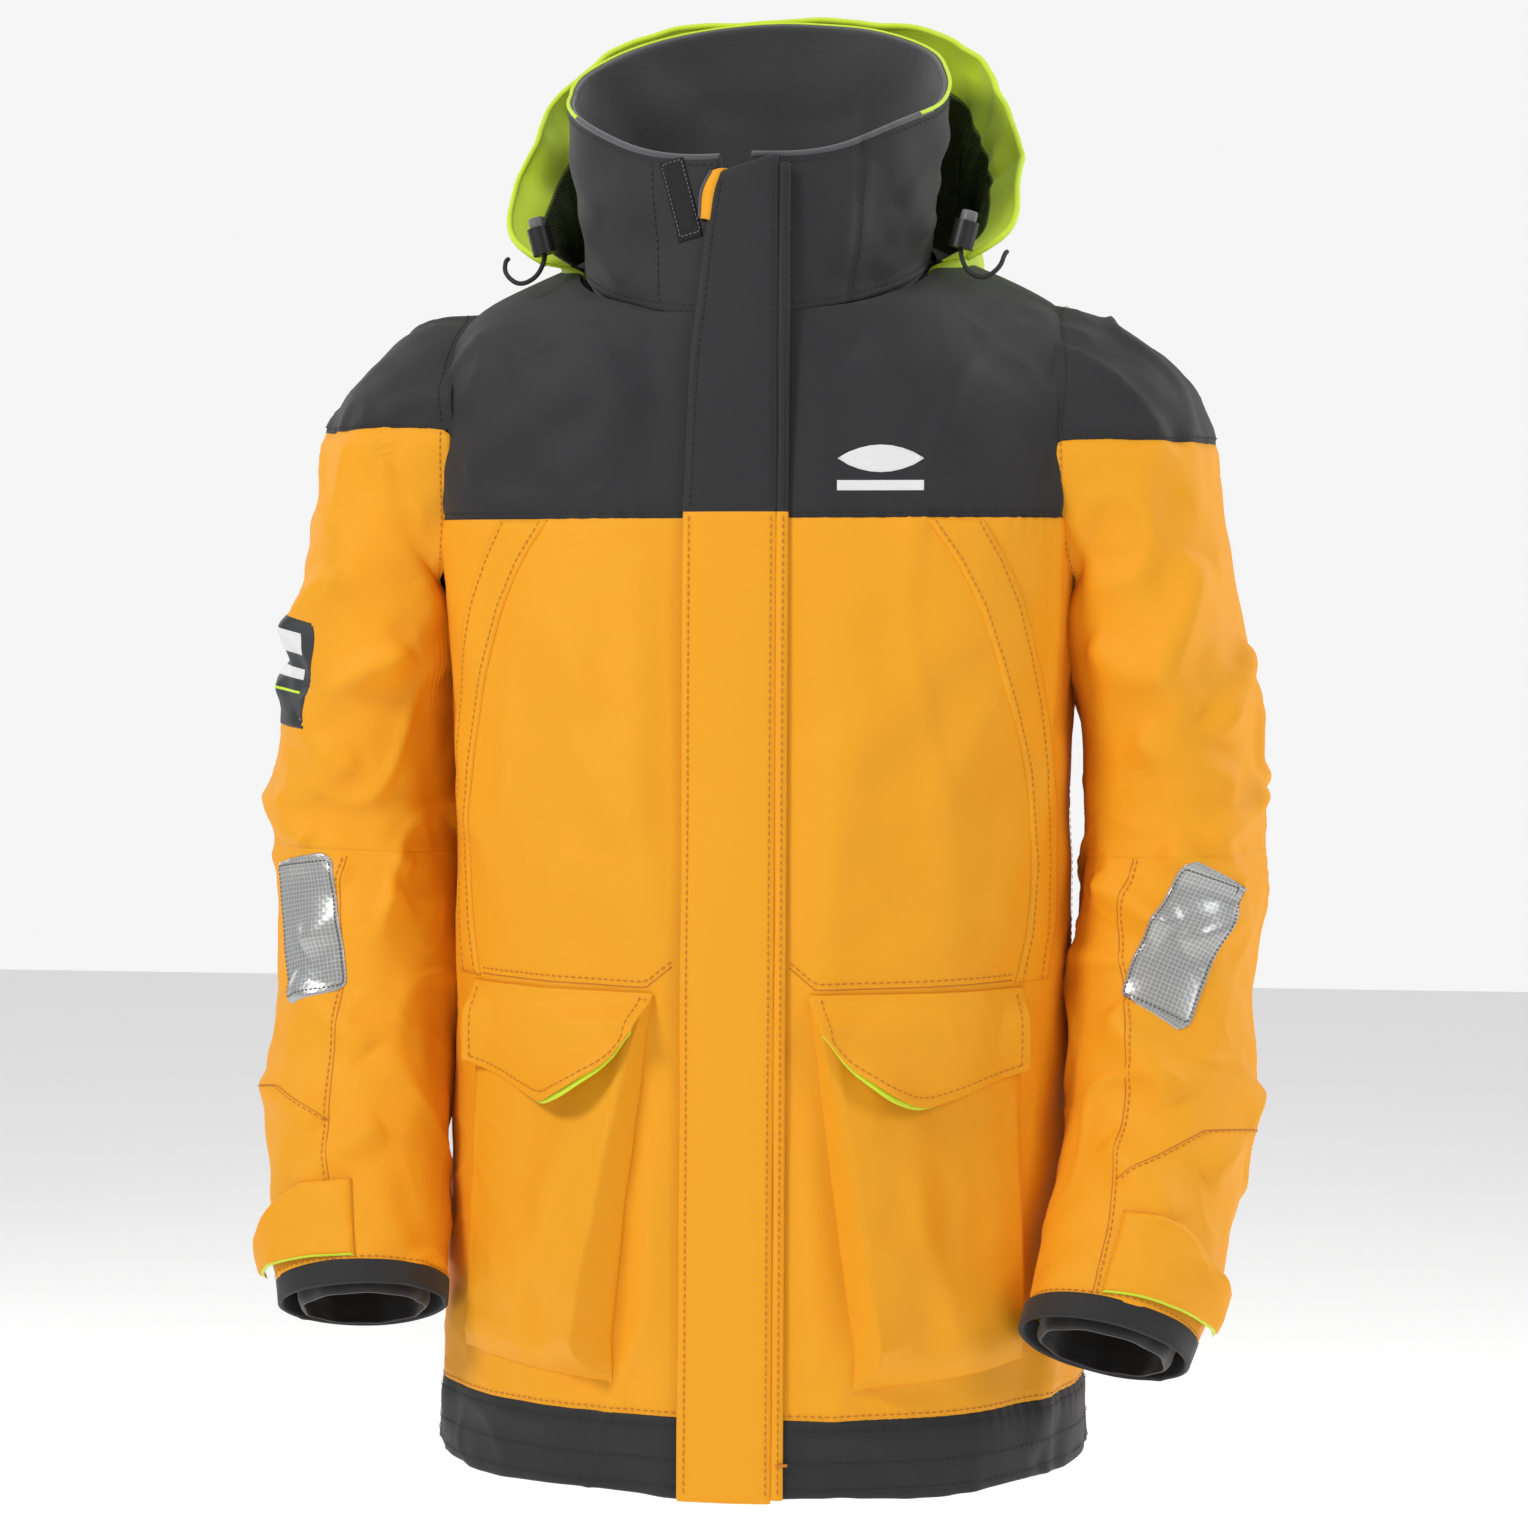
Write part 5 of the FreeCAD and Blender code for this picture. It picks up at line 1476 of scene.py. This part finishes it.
for name, side in SIDES:
    near, far = sorted((side * 0.004, side * 0.017))
    piece = front_strip(f"zip_tape_cloth_{name}", near, far, 0.006, LENGTH - 0.004, 3.4 * MM, LINING)
    done(piece, "jacket", f"zip_tape_{name}", slot="zip_tape")
place = (-0.026, 0.026, 0.010, LENGTH - 0.020, 8.5 * MM)
done(front_strip("wind_flap_cloth", *place, LINING, 44, 1.4 * MM), "jacket", "wind_flap")
for index, low in enumerate((0.040, 0.200, 0.360, 0.520)):
    place = (-0.0265, -0.0135, low, low + 0.060, -1.3 * MM)
    piece = front_strip(f"flap_hook_{index}", *place, HOOKS, 45, 0.8 * MM)
    done(piece, "storm_flap", *(["storm_flap_hooks"] if index == 0 else []))

# Folded top of the zip placket beside the flap, showing its orange facing.
left = [(-0.0215, LENGTH - 0.034), (-0.0195, LENGTH - 0.016), (-0.0140, LENGTH - 0.006)]
right = [(-0.0125, LENGTH - 0.036), (-0.0080, LENGTH - 0.016), (-0.0040, LENGTH - 0.005)]
flat = ruled(left, right, 1.6 * MM, curve=True)
x, up = flat[..., 0], flat[..., 1]
q = np.linspace(0, 1, flat.shape[1])[None, :]
lift = 0.0010 + 0.0035 * np.sin(math.pi * q) + 0.002 * ease(up, LENGTH - 0.03, LENGTH) * (1 - q)
done(cloth_grid("zip_garage", flap_place(x, up, lift), ORANGE, thick=1.0 * MM), "jacket")
edge = flap_place(x[:, 0], up[:, 0], lift[:, 0] + 0.0002)
done(tube_mesh("zip_garage_edge", edge, 1.1 * MM, FLEECE_EDGE), "jacket")

# Hang loop: a folded tape arching between its two sewn ends.
height, q = spread(np.linspace(-0.003, 0.003, 7), np.linspace(0, 1, 60))
x = 0.024 * np.sin((q - 0.5) * math.pi) * (1 - 0.04 * np.cos(q * 2 * math.pi))
y = 0.0012 - 0.0046 * np.sin(math.pi * q) ** 0.6
grid = np.stack([x, y, height + 0.0004 * np.sin(q * 9)], -1)
done(cloth_grid("hang_loop_tape", grid, CHARCOAL, thick=1.1 * MM), "jacket", "hang_loop")

# Hood cords: where each leaves the hood's edge, and its steps from there, in millimetres.
CORD_LENGTH, CORD_THICK = 0.0655, 0.003
CORD_BASE = np.array([131, -124, -47])
CORD_STEPS = np.array([(0, 0, 0), (1, -4, -12), (14, -8, -21), (25, -5, -13), (27, 6, -3), (27.5, 17, -1)])
for name, side in SIDES:
    curve = bpy.data.curves.new(f"hood_cord_{name}", "CURVE")
    curve.dimensions = "3D"
    spline = curve.splines.new("NURBS")
    spline.points.add(len(CORD_STEPS) - 1)
    for point, place in zip(spline.points, (CORD_BASE + CORD_STEPS) * (side, 1, 1) * MM):
        point.co = [*place, 1.0]
    spline.order_u = 3
    spline.use_endpoint_u = True
    curve.bevel_depth = CORD_THICK / 2
    curve.bevel_resolution = 3
    curve.resolution_u = 10
    curve.materials.append(CORD)
    piece = linked(bpy.data.objects.new(f"hood_cord_{name}", curve))
    done(piece, "hood", f"hood_drawcord_{name}")
    start = tuple(float(value) for value in CORD_BASE * (side, 1, 1) * MM)
    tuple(start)

# ---- camera, light and floor ----------------------------------------------------------------


def aim(obj, place, way):
    """Puts a camera or a light at a place, looking along way."""
    obj.location = place
    obj.rotation_euler = Vector(way).to_track_quat("-Z", "Y").to_euler()
    return linked(obj)


# The camera turns round a place in the jacket, at its own height.
CAMERA_AZIMUTH, CAMERA_PITCH, CAMERA_RANGE = math.radians(8.0), math.radians(2.42), 2.2
CAMERA_Y, CAMERA_Z = -0.066, -0.277
across, along = math.sin(CAMERA_AZIMUTH), -math.cos(CAMERA_AZIMUTH)
camera = bpy.data.cameras.new("camera")
camera.sensor_width = 36.0
camera.lens = 80.4
place = (CAMERA_RANGE * across, CAMERA_Y + CAMERA_RANGE * along, CAMERA_Z)
way = (-across, -along, -math.tan(CAMERA_PITCH))
bpy.context.scene.camera = aim(bpy.data.objects.new("camera", camera), place, way)

MIDDLE = Vector((0.0, -0.05, -0.40))
for name, place, size, power in (
    ("key", (-1.7, -1.9, 1.4), (0.7, 0.7), 44),
    ("fill", (2.1, -1.6, 0.9), (0.8, 1.2), 18),
    ("rim_left", (2.0, 0.9, 0.6), (1.0, 1.8), 22),
    ("rim_right", (-1.9, 1.2, 0.5), (1.0, 1.8), 10),
    ("top", (0.0, -0.4, 2.2), (2.0, 2.0), 14),
):
    light = bpy.data.lights.new(name, "AREA")
    light.shape = "RECTANGLE"
    light.size, light.size_y = size
    light.energy = power
    aim(bpy.data.objects.new(name, light), place, MIDDLE - Vector(place))

# The background is brighter to the camera than as a light.
world = bpy.data.worlds.new("studio")
world.use_nodes = True
sky = world.node_tree.nodes["Background"]
sky.inputs["Color"].default_value = (1.0, 1.0, 1.0, 1.0)
ray = world.node_tree.nodes.new("ShaderNodeLightPath")
brightness = world.node_tree.nodes.new("ShaderNodeMapRange")
brightness.inputs["To Min"].default_value = 0.29
brightness.inputs["To Max"].default_value = 0.92
world.node_tree.links.new(ray.outputs["Is Camera Ray"], brightness.inputs["Value"])
world.node_tree.links.new(brightness.outputs["Result"], sky.inputs["Strength"])
bpy.context.scene.world = world
bpy.context.scene.view_settings.view_transform = "Standard"

paper = plain("floor_paper", (0.93, 0.93, 0.93), 0.9, grain=60.0, strength=0.02)
shader = paper.node_tree.nodes["Principled BSDF"]
shader.inputs["Emission Color"].default_value = (1.0, 1.0, 1.0, 1.0)
shader.inputs["Emission Strength"].default_value = 0.42
FLOOR_HALF, FLOOR_Z = 6, -1.16
corners = [(x * FLOOR_HALF, y * FLOOR_HALF, FLOOR_Z) for x, y in ((-1, -1), (1, -1), (1, 1), (-1, 1))]
mesh_object("floor", corners, [(0, 1, 2, 3)], paper)
